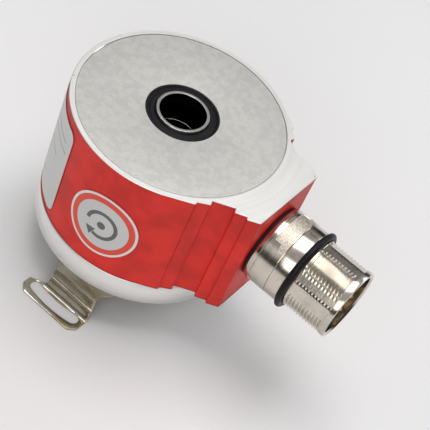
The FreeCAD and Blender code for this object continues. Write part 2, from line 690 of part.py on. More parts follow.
def board_screws():
    screws = []
    seat = INTERFACE_BOARD_Z + BOARD_T
    top = seat + BOARD_HEAD_H
    reach = BOARD_HEAD_R + PAST
    half = BOARD_HEAD_SLOT_W / 2
    for x, y in screw_places(POST_PCD_R, POST_ANGLES):
        head = cylinder(BOARD_HEAD_R, seat, top, x, y)
        shank = cylinder(BOARD_SCREW_R, SENSOR_BOARD_Z - POST_BITE, seat + HEAD_OVERLAP, x, y)
        slot = box(x - reach, x + reach, y - half, y + half, top - BOARD_HEAD_SLOT_D, top + PAST)
        screws.append(joined([head, shank]).cut(slot))
    return group(screws)


def processor_chip():
    low = INTERFACE_BOARD_Z + BOARD_T
    half = PROCESSOR_L / 2
    near = -BOARD_HOLE_R - PAST
    return box(-half, half, near - PROCESSOR_W, near, low, low + PROCESSOR_H)


def board_header():
    """Plug and socket strip that joins the two boards."""
    half = HEADER_L / 2
    near = BOARD_HOLE_R + HEADER_AIR
    return box(-half, half, near, near + HEADER_W, SENSOR_BOARD_Z + BOARD_T, INTERFACE_BOARD_Z)


def cable_socket():
    low = INTERFACE_BOARD_Z - SOCKET_H
    half = SOCKET_L / 2
    return box(SOCKET_X, SOCKET_X + SOCKET_W, -half, half, low, INTERFACE_BOARD_Z)


def ribbon_cable():
    """Flat cable from the socket under the upper board to the back of the connector."""
    half = RIBBON_T / 2
    start_x = SOCKET_X + SOCKET_W
    start_z = INTERFACE_BOARD_Z - SOCKET_H / 2
    end_x = INSERT_X - PIN_TAIL
    bend_x = COVER_IN_R + RIBBON_BEND
    foot_x = bend_x + RIBBON_RUN
    above = [(start_x, start_z + half), (bend_x, start_z + half), (foot_x, CONN_Z + half),
             (end_x, CONN_Z + half)]
    below = [(end_x, CONN_Z - half), (foot_x - half, CONN_Z - half),
             (bend_x - half, start_z - half), (start_x, start_z - half)]
    face = Part.Face(closed_wire([V(x, -RIBBON_W / 2, z) for x, z in above + below]))
    return face.extrude(V(0, RIBBON_W, 0))


# ---- Stator coupling --------------------------------------------------------
def wing_section():
    """Side view of one wing: level sheet, wall with a jog, then the tab; (out, height)."""
    t = SHEET_T
    ease = 0.3 * TAB_BEND_R
    jog_y = BEND_Y + JOG_OUT
    jog_z = RING_TOP_Z - JOG_DROP
    foot_y = jog_y + FOOT_OUT
    foot_z = SHEET_T + TAB_BEND_R
    toe_y = foot_y + TAB_BEND_R
    end_y = TAB_OUT_Y + PAST
    top = [(RING_IN_R + PAST, RING_TOP_Z), (BEND_Y - ease, RING_TOP_Z), (BEND_Y, RING_TOP_Z - ease),
           (BEND_Y + BEND_LEAN, jog_z + ease), (jog_y - ease, jog_z), (jog_y, jog_z - ease),
           (foot_y, foot_z), (foot_y + ease, SHEET_T + ease), (toe_y, SHEET_T), (end_y, SHEET_T)]
    under = [(end_y, 0), (toe_y - ease, 0), (foot_y, ease / 2), (foot_y - t, foot_z - ease / 2),
             (jog_y - t, jog_z - t), (BEND_Y + BEND_LEAN - t, jog_z - ease / 2),
             (BEND_Y - t, RING_TOP_Z - t - ease / 2), (BEND_Y - t - ease / 2, RING_TOP_Z - t),
             (RING_IN_R + PAST, RING_TOP_Z - t)]
    return top + under


def wing_outline():
    """Plan of one wing, on the -Y side; (across, out)."""
    root_y = RING_IN_R + 2 * PAST
    flare = NECK_RIGHT_X + NECK_FLARE_R
    corner = 0.5
    return [(NECK_LEFT_X, root_y), (NECK_LEFT_X, SHOULDER_Y - corner),
            (NECK_LEFT_X - corner, SHOULDER_Y), (-TAB_HALF_W, SHOULDER_Y + 3 * corner),
            (-TAB_HALF_W, TAB_OUT_Y - TAB_CORNER), (-TAB_HALF_W + TAB_CORNER, TAB_OUT_Y),
            (TAB_HALF_W - TAB_CORNER, TAB_OUT_Y), (TAB_HALF_W, TAB_OUT_Y - TAB_CORNER),
            (TAB_HALF_W, SHOULDER_Y + corner), (NECK_RIGHT_X, SHOULDER_Y - corner),
            (NECK_RIGHT_X, RING_OUT_R + 0.3 * NECK_FLARE_R),
            (NECK_RIGHT_X + 0.12 * NECK_FLARE_R, RING_OUT_R + 0.05 * NECK_FLARE_R),
            (NECK_RIGHT_X + 0.4 * NECK_FLARE_R, RING_OUT_R - 0.4 * NECK_FLARE_R),
            (flare, RING_OUT_R - 1.25 * NECK_FLARE_R), (flare - NECK_FLARE_R, root_y)]


def arc_slot():
    """Cutter for a slot along the pitch circle, on the -Y side."""
    half = SLOT_W / 2
    band = tube(SLOT_PCD_R + half, SLOT_PCD_R - half, -PAST, RING_TOP_Z)
    x, y = on_circle(2 * SLOT_PCD_R, SLOT_HALF_ANGLE)
    wedge = prism([(0, 0), (x, -y), (x, y)], -PAST, RING_TOP_Z)
    ends = [cylinder(half, -PAST, RING_TOP_Z, *on_circle(SLOT_PCD_R, sign * SLOT_HALF_ANGLE))
            for sign in (-1, 1)]
    return turn(joined([band.common(wedge)] + ends), -90)


def wing():
    reach = 2 * TAB_HALF_W
    face = Part.Face(closed_wire([V(-reach, -y, z) for y, z in wing_section()]))
    folded = face.extrude(V(2 * reach, 0, 0))
    plan = prism([(x, -y) for x, y in wing_outline()], -PAST, RING_TOP_Z + PAST)
    return folded.common(plan).cut(arc_slot())


def stator_coupling():
    ring = cylinder(RING_OUT_R, RING_TOP_Z - SHEET_T, RING_TOP_Z)
    sheet = joined([ring, wing(), turn(wing(), 180)])
    holes = [cylinder(RING_IN_R, 0, RING_TOP_Z + PAST)]
    for x, y in screw_places(COUPLING_SCREW_PCD_R, COUPLING_SCREW_ANGLES):
        holes.append(cylinder(M25_R + COUPLING_HOLE_GAP, 0, RING_TOP_Z + PAST, x, y))
    return without(sheet, holes)


def coupling_screws():
    seat = RING_TOP_Z - SHEET_T
    low = seat - M25_HEAD_H
    screws = []
    for x, y in screw_places(COUPLING_SCREW_PCD_R, COUPLING_SCREW_ANGLES):
        head = cylinder(M25_HEAD_R, low, seat, x, y)
        shank = cylinder(M25_R, seat - HEAD_OVERLAP, RING_TOP_Z + COUPLING_SCREW_BITE, x, y)
        socket = hexagon(M25_SOCKET_R, low - PAST, low + M25_SOCKET_D, x, y)
        screws.append(joined([head, shank]).cut(socket))
    return group(screws)


# ---- Connector --------------------------------------------------------------
def connector_gasket():
    return turned_x([(BLOCK_END_X, BLOCK_BORE_R), (BLOCK_END_X, GASKET_R), (COLLAR_X, GASKET_R),
                     (COLLAR_X, BLOCK_BORE_R)])


def connector_collar():
    r = COLLAR_OUT_R
    low_x = BLOCK_END_X - COLLAR_SPIGOT_L
    spigot_r = BLOCK_BORE_R - THREAD_GAP
    line_x = COLLAR_X + COLLAR_LINE
    line_r = r - COLLAR_LINE_D
    ease = EDGE_CHAMFER / 2
    body = turned_x([
        (low_x, COLLAR_BORE_R), (low_x, spigot_r), (COLLAR_X, spigot_r), (COLLAR_X, r - EDGE_CHAMFER),
        (COLLAR_X + EDGE_CHAMFER, r), (line_x, r), (line_x + 0.05, line_r),
        (line_x + 0.25, line_r), (line_x + EDGE_CHAMFER, r), (BARREL_X - ease, r),
        (BARREL_X, r - ease), (BARREL_X, COLLAR_BORE_R)])
    return without(body, [collar_patch(COLLAR_X + low, COLLAR_X + high, half)
                          for low, high, half in PATCHES])


def collar_patch(low, high, half_angle):
    """Cutter for the shallow sunk patches on top of and under the collar."""
    floor_r = COLLAR_OUT_R - PATCH_DEPTH
    band = turned_x([(low, floor_r), (low, COLLAR_OUT_R + PAST), (high, COLLAR_OUT_R + PAST),
                     (high, floor_r)])
    reach = 2 * COLLAR_OUT_R
    half = reach * math.tan(math.radians(half_angle))
    span = V(high - low + 2 * PAST, 0, 0)
    patches = []
    for side in (-1, 1):
        corners = [(0, 0), (-side * half, side * reach), (side * half, side * reach)]
        start = [V(low - PAST, y, CONN_Z + z) for y, z in corners]
        patches.append(band.common(Part.Face(closed_wire(start)).extrude(span)))
    return group(patches)


def thread_profile():
    """Ridges of the outside thread, from the seal groove to the plain end; (along, radius)."""
    root_r = THREAD_R - THREAD_DEPTH
    points = []
    for i in range(THREAD_TURNS):
        start = THREAD_X + THREAD_RUN_IN + i * THREAD_PITCH
        for share, radius in ((0, THREAD_R), (0.42, root_r), (0.5, root_r), (0.9, THREAD_R)):
            points.append((start + share * THREAD_PITCH, radius))
    return points


def thread_flat(degrees):
    """Cutter for one long flat on the threaded barrel."""
    half = 0.8 * THREAD_R
    flat = box(THREAD_X + EDGE_CHAMFER / 2, THREAD_END_X, -half, half, FLAT_DISTANCE, 2 * THREAD_R)
    flat.rotate(ORIGIN, ALONG_X, degrees - 90)
    flat.translate(V(0, 0, CONN_Z))
    return flat


def connector_barrel():
    sleeve_x = BARREL_X - SLEEVE_L
    sleeve_r = COLLAR_BORE_R - SEAT_GAP
    wire_bore_r = sleeve_r - SLEEVE_WALL
    ease = EDGE_CHAMFER / 2
    small = EDGE_CHAMFER / 3
    profile = [(sleeve_x, wire_bore_r), (sleeve_x, sleeve_r), (BARREL_X, sleeve_r),
               (BARREL_X, SMOOTH_R - ease), (BARREL_X + ease, SMOOTH_R),
               (GROOVE_X - small, SMOOTH_R), (GROOVE_X, SMOOTH_R - small), (GROOVE_X, GROOVE_FLOOR_R),
               (THREAD_X, GROOVE_FLOOR_R), (THREAD_X, THREAD_R - small), (THREAD_X + small, THREAD_R)]
    profile += thread_profile()
    profile += [(CONN_END_X - EDGE_CHAMFER, THREAD_R), (CONN_END_X, THREAD_R - EDGE_CHAMFER),
                (CONN_END_X, MOUTH_R), (CONN_END_X - MOUTH_LEAD, CONN_BORE_R),
                (INSERT_X, CONN_BORE_R), (INSERT_X, wire_bore_r)]
    notch = cylinder(NOTCH_R, SMOOTH_R - 0.6, SMOOTH_R + PAST, BARREL_X + NOTCH_R, 0)
    notch.rotate(ORIGIN, ALONG_X, NOTCH_ANGLE)
    notch.translate(V(0, 0, CONN_Z))
    flats = [thread_flat(degrees) for ridge in FLAT_RIDGES
             for degrees in (ridge - FLAT_LEAN, ridge + FLAT_LEAN)]
    return without(turned_x(profile), flats + [notch])


def connector_o_ring():
    middle = V(GROOVE_X + CONN_GROOVE_W / 2, 0, CONN_Z)
    centre_r = GROOVE_FLOOR_R + SEAT_GAP + CONN_RING_SECTION_R
    return Part.makeTorus(centre_r, CONN_RING_SECTION_R, middle, ALONG_X)


def pin_places():
    return [on_circle(PIN_PCD_R, 360.0 * (i + 0.5) / PIN_COUNT) for i in range(PIN_COUNT)]


def connector_insert():
    start, end = INSERT_X - PAST, INSERT_END_X + PAST
    body = bar_x(INSERT_R, INSERT_X, INSERT_END_X)
    key_top = math.sqrt(INSERT_R ** 2 - KEY_HALF_W ** 2)
    key = box(INSERT_END_X - PAST, INSERT_END_X + KEY_L, -KEY_HALF_W, KEY_HALF_W,
              CONN_Z + CONN_BORE_R - KEY_SINK, CONN_Z + key_top)
    holes = [bar_x(PIN_R + SEAT_GAP, start, end, y, z) for y, z in pin_places()]
    holes.append(bar_x(CENTRE_PIN_R + SEAT_GAP, start, end))
    return without(joined([body, key]), holes)


def contact(radius, sink, y, z):
    """Round-nosed contact pin with a solder tail."""
    nose_x = CONN_END_X - sink - radius
    straight = bar_x(radius, INSERT_X - PIN_TAIL, nose_x, y, z)
    nose = Part.makeSphere(radius, V(nose_x, y, CONN_Z + z))
    return joined([straight, nose])


def signal_contacts():
    return group([contact(PIN_R, PIN_SINK, y, z) for y, z in pin_places()])


def insert_retaining_ring():
    x = INSERT_END_X
    inner = INSERT_R - INSERT_RING_W
    high = x + INSERT_RING_T
    gap = INSERT_RING_GAP
    ring = turned_x([(x, inner), (x, INSERT_R), (high, INSERT_R), (high, inner)])
    return ring.cut(box(x - PAST, high + PAST, -gap, gap, CONN_Z, CONN_Z + CONN_BORE_R + PAST))


# ---- Labels -----------------------------------------------------------------
def foil(low, high):
    return tube(BODY_R + FOIL_T, BODY_R + FOIL_GAP, low, high)


def rating_label():
    low = SEAM_Z + RATING_RISE
    high = low + RATING_H
    middle = RATING_START - RATING_SPAN / 2
    half = BODY_R * math.sin(math.radians(RATING_SPAN / 2))
    plate = box(0, BODY_R + PAST, -half, half, low, high)
    corners = [edge for edge in plate.Edges
               if edge.BoundBox.YLength < SEAT_GAP and edge.BoundBox.ZLength < SEAT_GAP]
    plate = plate.makeFillet(RATING_CORNER, corners)
    return foil(low - PAST, high + PAST).common(turn(plate, middle))


def round_sticker():
    height = REAR_Z - STICKER_DROP
    half = BODY_R * math.sin(STICKER_R / BODY_R)
    middle = V(BODY_R / 2, 0, height)
    edge = Part.Ellipse(middle, STICKER_R, half).toShape()
    edge.rotate(middle, V(0, 1, 0), 90)
    stamp = Part.Face(Part.Wire([edge])).extrude(V(BODY_R, 0, 0))
    band = foil(height - STICKER_R - PAST, height + STICKER_R + PAST)
    return band.common(turn(stamp, STICKER_AZIMUTH))


def save(name, shape):
    shape.exportStep("parts/" + name + ".step")
    volume = shape.Volume
    print(f"{name:28s} solids {len(shape.Solids):2d}  volume {volume:10.2f}  valid {shape.isValid()}")


def main():
    os.makedirs("parts", exist_ok=True)
    save("housing_cover", housing_cover())
    save("base_flange", base_flange())
    save("back_disc", back_disc())
    save("housing_o_ring", housing_o_ring())
    save("housing_screws", group([housing_screw(x, y)
                                  for x, y in screw_places(LUG_PCD_R, LUG_ANGLES)]))
    save("rear_shaft_seal", rear_shaft_seal())
    save("front_shaft_seal", front_shaft_seal())
    save("hollow_shaft", hollow_shaft())
    for name, low in (("front", FRONT_BEARING_Z), ("rear", REAR_BEARING_Z)):
        save(name + "_bearing_inner_race", inner_race(low))
        save(name + "_bearing_outer_race", outer_race(low))
        save(name + "_bearing_balls", balls(low))
        save(name + "_bearing_cage", cage(low))
    save("bearing_spacer", bearing_spacer())
    save("bearing_retaining_ring", bearing_retaining_ring())
    save("clamping_ring", clamping_ring())
    save("clamp_screw", clamp_screw())
    save("disc_hub", disc_hub())
    save("code_disc", code_disc())
    save("disc_retainer", disc_retainer())
    save("light_source", light_source())
    save("light_lens", light_lens())
    save("scanning_mask", scanning_mask())
    save("sensor_chip", sensor_chip())
    save("sensor_board", board(SENSOR_BOARD_Z))
    save("interface_board", board(INTERFACE_BOARD_Z))
    save("board_posts", board_posts())
    save("board_spacers", board_spacers())
    save("board_screws", board_screws())
    save("processor_chip", processor_chip())
    save("board_header", board_header())
    save("cable_socket", cable_socket())
    save("ribbon_cable", ribbon_cable())
    save("stator_coupling", stator_coupling())
    save("coupling_screws", coupling_screws())
    save("connector_gasket", connector_gasket())
    save("connector_collar", connector_collar())
    save("connector_barrel", connector_barrel())
    save("connector_o_ring", connector_o_ring())
    save("connector_insert", connector_insert())
    save("signal_contacts", signal_contacts())
    save("centre_contact", contact(CENTRE_PIN_R, CENTRE_PIN_SINK, 0, 0))
    save("insert_retaining_ring", insert_retaining_ring())
    save("rating_label", rating_label())
    save("round_sticker", round_sticker())


main()
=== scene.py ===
"""Visible pieces, finishes and studio of a hollow-shaft rotary encoder, laid out as an add-on.

Shapes are worked out in millimetres on the encoder's own axes and scaled to metres at the end:
the origin is on the shaft axis in the mounting plane, +Z runs to the rear face and +X to the connector.
"""
import math

import bmesh
import bpy
from bpy.props import FloatProperty, FloatVectorProperty, IntProperty, PointerProperty
from mathutils import Euler, Matrix, Vector


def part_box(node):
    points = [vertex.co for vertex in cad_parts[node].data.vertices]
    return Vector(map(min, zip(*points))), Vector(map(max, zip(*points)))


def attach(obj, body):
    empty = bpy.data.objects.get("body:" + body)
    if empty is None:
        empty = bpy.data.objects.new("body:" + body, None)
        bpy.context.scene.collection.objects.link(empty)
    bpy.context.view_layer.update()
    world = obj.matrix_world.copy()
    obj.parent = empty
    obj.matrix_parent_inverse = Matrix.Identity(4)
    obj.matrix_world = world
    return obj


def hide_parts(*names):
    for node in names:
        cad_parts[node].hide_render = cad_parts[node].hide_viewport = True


bl_info = {
    "name": "Rotary encoder",
    "version": (1, 0, 0),
    "blender": (4, 5, 0),
    "location": "View3D > Sidebar > Encoder",
    "description": "Builds the visible pieces, finishes and studio of a hollow-shaft rotary encoder",
    "category": "Add Mesh",
}

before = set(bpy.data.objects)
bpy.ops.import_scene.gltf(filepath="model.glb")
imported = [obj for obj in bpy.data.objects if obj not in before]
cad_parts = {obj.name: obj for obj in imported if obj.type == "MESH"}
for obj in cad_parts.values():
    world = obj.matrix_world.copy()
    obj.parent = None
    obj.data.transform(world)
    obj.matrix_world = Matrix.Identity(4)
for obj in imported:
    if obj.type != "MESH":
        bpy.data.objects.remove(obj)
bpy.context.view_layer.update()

MM = 0.001


def node_box(node):
    """Lowest and highest corner of a CAD node, in millimetres."""
    low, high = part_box(node)
    return low / MM, high / MM


COVER_LOW, COVER_HIGH = node_box("housing_cover")
FLANGE_HIGH = node_box("base_flange")[1]
DISC_LOW, DISC_HIGH = node_box("back_disc")
SEAL_LOW, SEAL_HIGH = node_box("rear_shaft_seal")
SHAFT_LOW, SHAFT_HIGH = node_box("hollow_shaft")
SHEET_HIGH = node_box("stator_coupling")[1]
GASKET_LOW, GASKET_HIGH = node_box("connector_gasket")
COLLAR_LOW, COLLAR_HIGH = node_box("connector_collar")
BARREL_LOW, BARREL_HIGH = node_box("connector_barrel")
RING_LOW, RING_HIGH = node_box("connector_o_ring")
RATING_LOW, RATING_HIGH = node_box("rating_label")
STICKER_LOW, STICKER_HIGH = node_box("round_sticker")

BODY_R = FLANGE_HIGH.y
REAR_Z = COVER_HIGH.z
SEAM_Z = COVER_LOW.z
CONN_Z = (BARREL_LOW.z + BARREL_HIGH.z) / 2
FINE = 0.01                # two corners nearer than this are one
SCREW_EDGE = 0.08          # ease on the sharp edges of a screw
CLAMP_SLOTS = (45, 135)    # azimuths of the slots through the shaft, in degrees


# ---- Settings -----------------------------------------------------------------
def length(name, description, millimetres):
    return FloatProperty(name=name, description=description, default=millimetres * MM,
                         min=0.0, unit="LENGTH", precision=5)


def turn_angle(name, description, degrees):
    return FloatProperty(name=name, description=description, default=math.radians(degrees),
                         subtype="ANGLE")


def amount(name, description, default):
    return FloatProperty(name=name, description=description, default=default, min=0.0,
                         subtype="FACTOR")


def colour(name, description, default):
    return FloatVectorProperty(name=name, description=description, default=default, size=3,
                               min=0.0, max=1.0, subtype="COLOR")


class HousingSettings(bpy.types.PropertyGroup):
    """Sizes and colours of the cover, the rear disc and the seals."""
    edge: length("Edge", "Bright chamfer round the rear rim and the seam", 0.14)
    corner: length("Corner", "Radius of the block's upright corners", 0.25)
    recess: length("Recess radius", "Radius of the recess for the rear disc", 27.55)
    recess_depth: length("Recess depth", "Depth of the recess for the rear disc", 0.6)
    wall: length("Wall", "Thickness of the cover's side wall", 2.7)
    top: length("Top", "Thickness of the cover's rear plate", 2.5)
    bore: length("Connector hole", "Radius of the hole behind the connector", 8.65)
    facets: IntProperty(name="Facets", description="Sides of the round body", default=200, min=24)
    paint: colour("Paint", "Colour of the painted walls", (0.74, 0.030, 0.022))
    metal: colour("Bare metal", "Colour of the machined faces", (0.90, 0.895, 0.88))
    foil: colour("Rear disc", "Colour of the rear disc", (0.53, 0.525, 0.505))
    rubber: colour("Rubber", "Colour of the seals", (0.006, 0.006, 0.008))


class ShaftSettings(bpy.types.PropertyGroup):
    """Sizes and colour of the hollow shaft."""
    bore: length("Bore", "Radius of the shaft bore", 6.0)
    relief: length("Relief", "Step between the bore and its wider mouth", 0.15)
    relief_depth: length("Relief depth", "Length of the wider mouth", 9.4)
    neck: length("Neck", "Outer radius of the shaft's ends", 7.0)
    seat: length("Seat", "Outer radius under the bearings", 7.5)
    slot_width: length("Slot width", "Width of the clamping slots", 1.0)
    slot_length: length("Slot length", "Length of the clamping slots", 7.5)
    steel: colour("Steel", "Colour of the shaft", (0.74, 0.72, 0.69))


class CouplingSettings(bpy.types.PropertyGroup):
    """Sizes and colour of the folded sheet that holds the encoder still."""
    sheet: length("Sheet", "Thickness of the spring steel", 0.5)
    ring: length("Ring radius", "Outer radius of the flat ring", 24.0)
    opening: length("Opening radius", "Inner radius of the flat ring", 13.4)
    bend: length("First bend", "Distance of the first bend from the axis", 27.1)
    jog_out: length("Jog out", "How far out the second bend lies from the first", 0.7)
    jog_drop: length("Jog drop", "How far the second bend lies below the first", 4.1)
    foot: length("Foot radius", "Radius of the bend above the tab", 1.3)
    tab_half: length("Tab half width", "Half the width of a mounting tab", 9.8)
    tab_corner: length("Tab corner", "Cut corner of a mounting tab", 1.8)
    slot_circle: length("Slot circle", "Radius of the circle that the slots follow", 31.5)
    slot_width: length("Slot width", "Width of the mounting slots", 3.4)
    slot_reach: turn_angle("Slot reach", "Half the angle that a slot covers", 12.2)
    steel: colour("Steel", "Colour of the sheet", (0.47, 0.44, 0.37))


class ConnectorSettings(bpy.types.PropertyGroup):
    """Sizes and colours of the connector."""
    pitch: length("Thread pitch", "Distance between two ridges", 1.0)
    thread: length("Thread radius", "Radius over the ridges", 10.0)
    depth: length("Thread depth", "Depth of the grooves", 0.55)
    groove: length("Seal groove", "Radius of the floor of the seal groove", 9.85)
    flat: length("Flat", "Distance of the long flats from the axis", 9.4)
    mouth: length("Mouth", "Radius of the open end", 9.35)
    bore: length("Bore", "Radius inside the barrel", 8.9)
    sleeve: length("Sleeve", "Radius of the sleeve inside the collar", 7.48)
    sleeve_wall: length("Sleeve wall", "Thickness of that sleeve", 1.1)
    patch: length("Patch depth", "Depth of the frosted patches on the collar", 0.22)
    facets: IntProperty(name="Facets", description="Sides of the barrel", default=240, min=24)
    nickel: colour("Nickel", "Colour of the plated brass", (0.66, 0.61, 0.535))
    gold: colour("Gold", "Colour of the contacts", (0.90, 0.62, 0.20))


class LabelSettings(bpy.types.PropertyGroup):
    """Sizes and colours of the two foils on the cover."""
    rating_start: turn_angle("Rating start", "Azimuth of the rating foil's right edge", -114.5)
    rating_span: turn_angle("Rating span", "Angle that the rating foil covers", 86.0)
    rating_corner: length("Rating corner", "Corner radius of the rating foil", 2.4)
    sticker_azimuth: turn_angle("Sticker azimuth", "Azimuth of the round foil", -82.2)
    sticker_radius: length("Sticker radius", "Radius of the round foil", 10.0)
    ring_out: length("Ring outside", "Outer radius of the printed ring", 9.3)
    ring_in: length("Ring inside", "Inner radius of the printed ring", 7.6)
    paper: colour("Paper", "Colour of the foils", (0.80, 0.80, 0.79))
    silver: colour("Silver", "Colour of the rating foil", (0.66, 0.665, 0.66))
    ring: colour("Ring", "Colour of the printed ring", (0.80, 0.045, 0.012))
    ink: colour("Ink", "Colour of the printed marks", (0.10, 0.10, 0.11))


class StudioSettings(bpy.types.PropertyGroup):
    """Camera, floor and light."""
    azimuth: turn_angle("View azimuth", "Direction of the camera from its aim", -70.26)
    elevation: turn_angle("View elevation", "Height of the camera as an angle", 46.64)
    roll: turn_angle("View roll", "Turn of the camera about its line of sight", 25.3)
    distance: length("View distance", "Distance of the camera from its aim", 320.27)
    lens: FloatProperty(name="Lens", description="Focal length in millimetres", default=113.58)
    floor: colour("Floor", "Colour of the floor", (0.80, 0.80, 0.81))
    fill: amount("Fill", "Strength of the light from all round", 0.42)
    key: FloatProperty(name="Key light", description="Power of the main light", default=2.9,
                       unit="POWER")
    front: FloatProperty(name="Front light", description="Power of the light beside the camera",
                         default=1.6, unit="POWER")
    rim: FloatProperty(name="Rim light", description="Power of the light behind", default=0.85,
                       unit="POWER")


GROUPS = {
    "encoder_housing": HousingSettings,
    "encoder_shaft": ShaftSettings,
    "encoder_coupling": CouplingSettings,
    "encoder_connector": ConnectorSettings,
    "encoder_labels": LabelSettings,
    "encoder_studio": StudioSettings,
}


def mm(value):
    """A length setting in millimetres."""
    return value / MM


# ---- Shaping ------------------------------------------------------------------
def polar(radius, angle):
    return Vector((radius * math.cos(angle), radius * math.sin(angle)))


def arc(radius, start, end, steps, centre=(0.0, 0.0)):
    """Points along an arc, both ends included."""
    middle = Vector(centre)
    return [middle + polar(radius, start + (end - start) * i / steps) for i in range(steps + 1)]


def eased(points, radius, steps=3, least_turn=20.0, closed=True):
    """An outline with its corners rounded, each as far as its two sides allow."""
    result = []
    count = len(points)
    for i, point in enumerate(points):
        here = Vector(point)
        before = Vector(points[i - 1]) - here
        after = Vector(points[(i + 1) % count]) - here
        at_end = not closed and i in (0, count - 1)
        if at_end or 180 - math.degrees(before.angle(after)) < least_turn:
            result.append(here)
            continue
        cut = min(radius, 0.4 * before.length, 0.4 * after.length)
        start = here + before.normalized() * cut
        end = here + after.normalized() * cut
        for step in range(steps + 1):
            t = step / steps
            result.append(start * (1 - t) ** 2 + here * 2 * t * (1 - t) + end * t ** 2)
    return result


def merged(bm):
    """The same mesh with its doubled corners joined and its faces turned outwards."""
    bmesh.ops.remove_doubles(bm, verts=bm.verts, dist=FINE)
    bmesh.ops.recalc_face_normals(bm, faces=bm.faces)
    return bm


def spin_profile(bm, corners, steps, centre, axis, closed=True):
    """Sweep a row of corners once round an axis."""
    verts = [bm.verts.new(corner) for corner in corners]
    ends = verts[1:] + (verts[:1] if closed else [])
    edges = [bm.edges.new(pair) for pair in zip(verts, ends)]
    bmesh.ops.spin(bm, geom=verts + edges, cent=centre, axis=axis, angle=2 * math.pi,
                   steps=steps, use_merge=True)


def sliced(bm, place, normal, drop=False):
    """Cut every face along a plane, and drop what lies in front of it if asked to."""
    bmesh.ops.bisect_plane(bm, geom=bm.verts[:] + bm.edges[:] + bm.faces[:], dist=1e-5,
                           plane_co=place, plane_no=normal, clear_outer=drop)


def filled(loops):
    """Flat sheet at height 0 between closed outlines."""
    bm = bmesh.new()
    for loop in loops:
        verts = [bm.verts.new((x, y, 0)) for x, y in loop]
        for pair in zip(verts, verts[1:] + verts[:1]):
            bm.edges.new(pair)
    bmesh.ops.triangle_fill(bm, use_beauty=True, use_dissolve=False, edges=bm.edges, normal=(0, 0, 1))
    return bm


def turned(profile, steps=160):
    """Ring about the shaft axis from (radius, height) points."""
    bm = bmesh.new()
    spin_profile(bm, [(r, 0, z) for r, z in profile], steps, (0, 0, 0), (0, 0, 1))
    return merged(bm)


def turned_x(profile, steps=160):
    """Ring about the connector axis from (along, radius) points."""
    bm = bmesh.new()
    spin_profile(bm, [(x, 0, CONN_Z + r) for x, r in profile], steps, (0, 0, CONN_Z), (1, 0, 0))
    return merged(bm)


def rod(radius, start, end, sides=64):
    """Closed cylinder between two points."""
    start, end = Vector(start), Vector(end)
    along = end - start
    place = Matrix.Translation((start + end) / 2) @ along.to_track_quat("Z", "Y").to_matrix().to_4x4()
    bm = bmesh.new()
    bmesh.ops.create_cone(bm, cap_ends=True, segments=sides, radius1=radius, radius2=radius,
                          depth=along.length, matrix=place)
    return bm


def block(size, centre, angle=0.0):
    """Closed box, turned about the shaft axis."""
    bm = bmesh.new()
    place = Matrix.Rotation(angle, 4, "Z") @ Matrix.Translation(centre)
    bmesh.ops.create_cube(bm, size=1.0, matrix=place @ Matrix.Diagonal((*size, 1.0)))
    return bm


def held(name, bm):
    """Scratch object that holds a bmesh."""
    mesh = bpy.data.meshes.new(name)
    bm.to_mesh(mesh)
    bm.free()
    scratch = bpy.data.objects.new(name, mesh)
    bpy.context.scene.collection.objects.link(scratch)
    return scratch


def carved(bm, cutters):
    """Cut closed shapes out of a closed one."""
    target = held("target", bm)
    tools = [held("cutter", cutter) for cutter in cutters]
    for tool in tools:
        cut = target.modifiers.new("cut", "BOOLEAN")
        cut.operation = "DIFFERENCE"
        cut.solver = "EXACT"
        cut.object = tool
    bpy.context.view_layer.update()
    depsgraph = bpy.context.evaluated_depsgraph_get()
    mesh = bpy.data.meshes.new_from_object(target.evaluated_get(depsgraph))
    result = bmesh.new()
    result.from_mesh(mesh)
    bpy.data.meshes.remove(mesh)
    for scratch in [target] + tools:
        data = scratch.data
        bpy.data.objects.remove(scratch)
        bpy.data.meshes.remove(data)
    return result


def refined(node, edge):
    """Copy of a CAD node's mesh with its corners merged and its sharp edges eased."""
    bm = bmesh.new()
    bm.from_mesh(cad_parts[node].data)
    bmesh.ops.scale(bm, vec=(1 / MM,) * 3, verts=bm.verts)
    bmesh.ops.remove_doubles(bm, verts=bm.verts, dist=FINE / 10)
    if edge:
        bmesh.ops.dissolve_limit(bm, angle_limit=math.radians(0.4), verts=bm.verts, edges=bm.edges)
        sharp = [e for e in bm.edges if e.is_manifold and e.calc_face_angle() > math.radians(40)]
        bmesh.ops.bevel(bm, geom=sharp, offset=edge, offset_type="OFFSET", affect="EDGES",
                        segments=2, profile=0.5, material=-1, clamp_overlap=True)
    return bm


def piece(name, bm, body, finishes, nodes, sharp=32.0):
    """Turn a bmesh in millimetres into a piece that rides on a body and stands for CAD nodes."""
    bmesh.ops.scale(bm, vec=(MM,) * 3, verts=bm.verts)
    mesh = bpy.data.meshes.new(name)
    bm.to_mesh(mesh)
    bm.free()
    mesh.shade_smooth()
    mesh.set_sharp_from_angle(angle=math.radians(sharp))
    for finish in finishes:
        mesh.materials.append(finish)
    made = bpy.data.objects.new(name, mesh)
    bpy.context.scene.collection.objects.link(made)
    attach(made, body)
    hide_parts(*nodes)
    return made


def dressed(name, node, body, material, edge=0.0):
    """A CAD node's own shape as a piece with one finish."""
    return piece(name, refined(node, edge), body, [material], [node])


# ---- Shader maths -------------------------------------------------------------
class Signal:
    """A shader socket that takes part in sums; each sum adds a Math node."""

    def __init__(self, finish, socket):
        self.finish = finish
        self.socket = socket

    def __add__(self, other):
        return self.finish.math("ADD", self, other)

    def __sub__(self, other):
        return self.finish.math("SUBTRACT", self, other)

    def __rsub__(self, other):
        return self.finish.math("SUBTRACT", other, self)

    def __mul__(self, other):
        return self.finish.math("MULTIPLY", self, other)

    __radd__ = __add__
    __rmul__ = __mul__


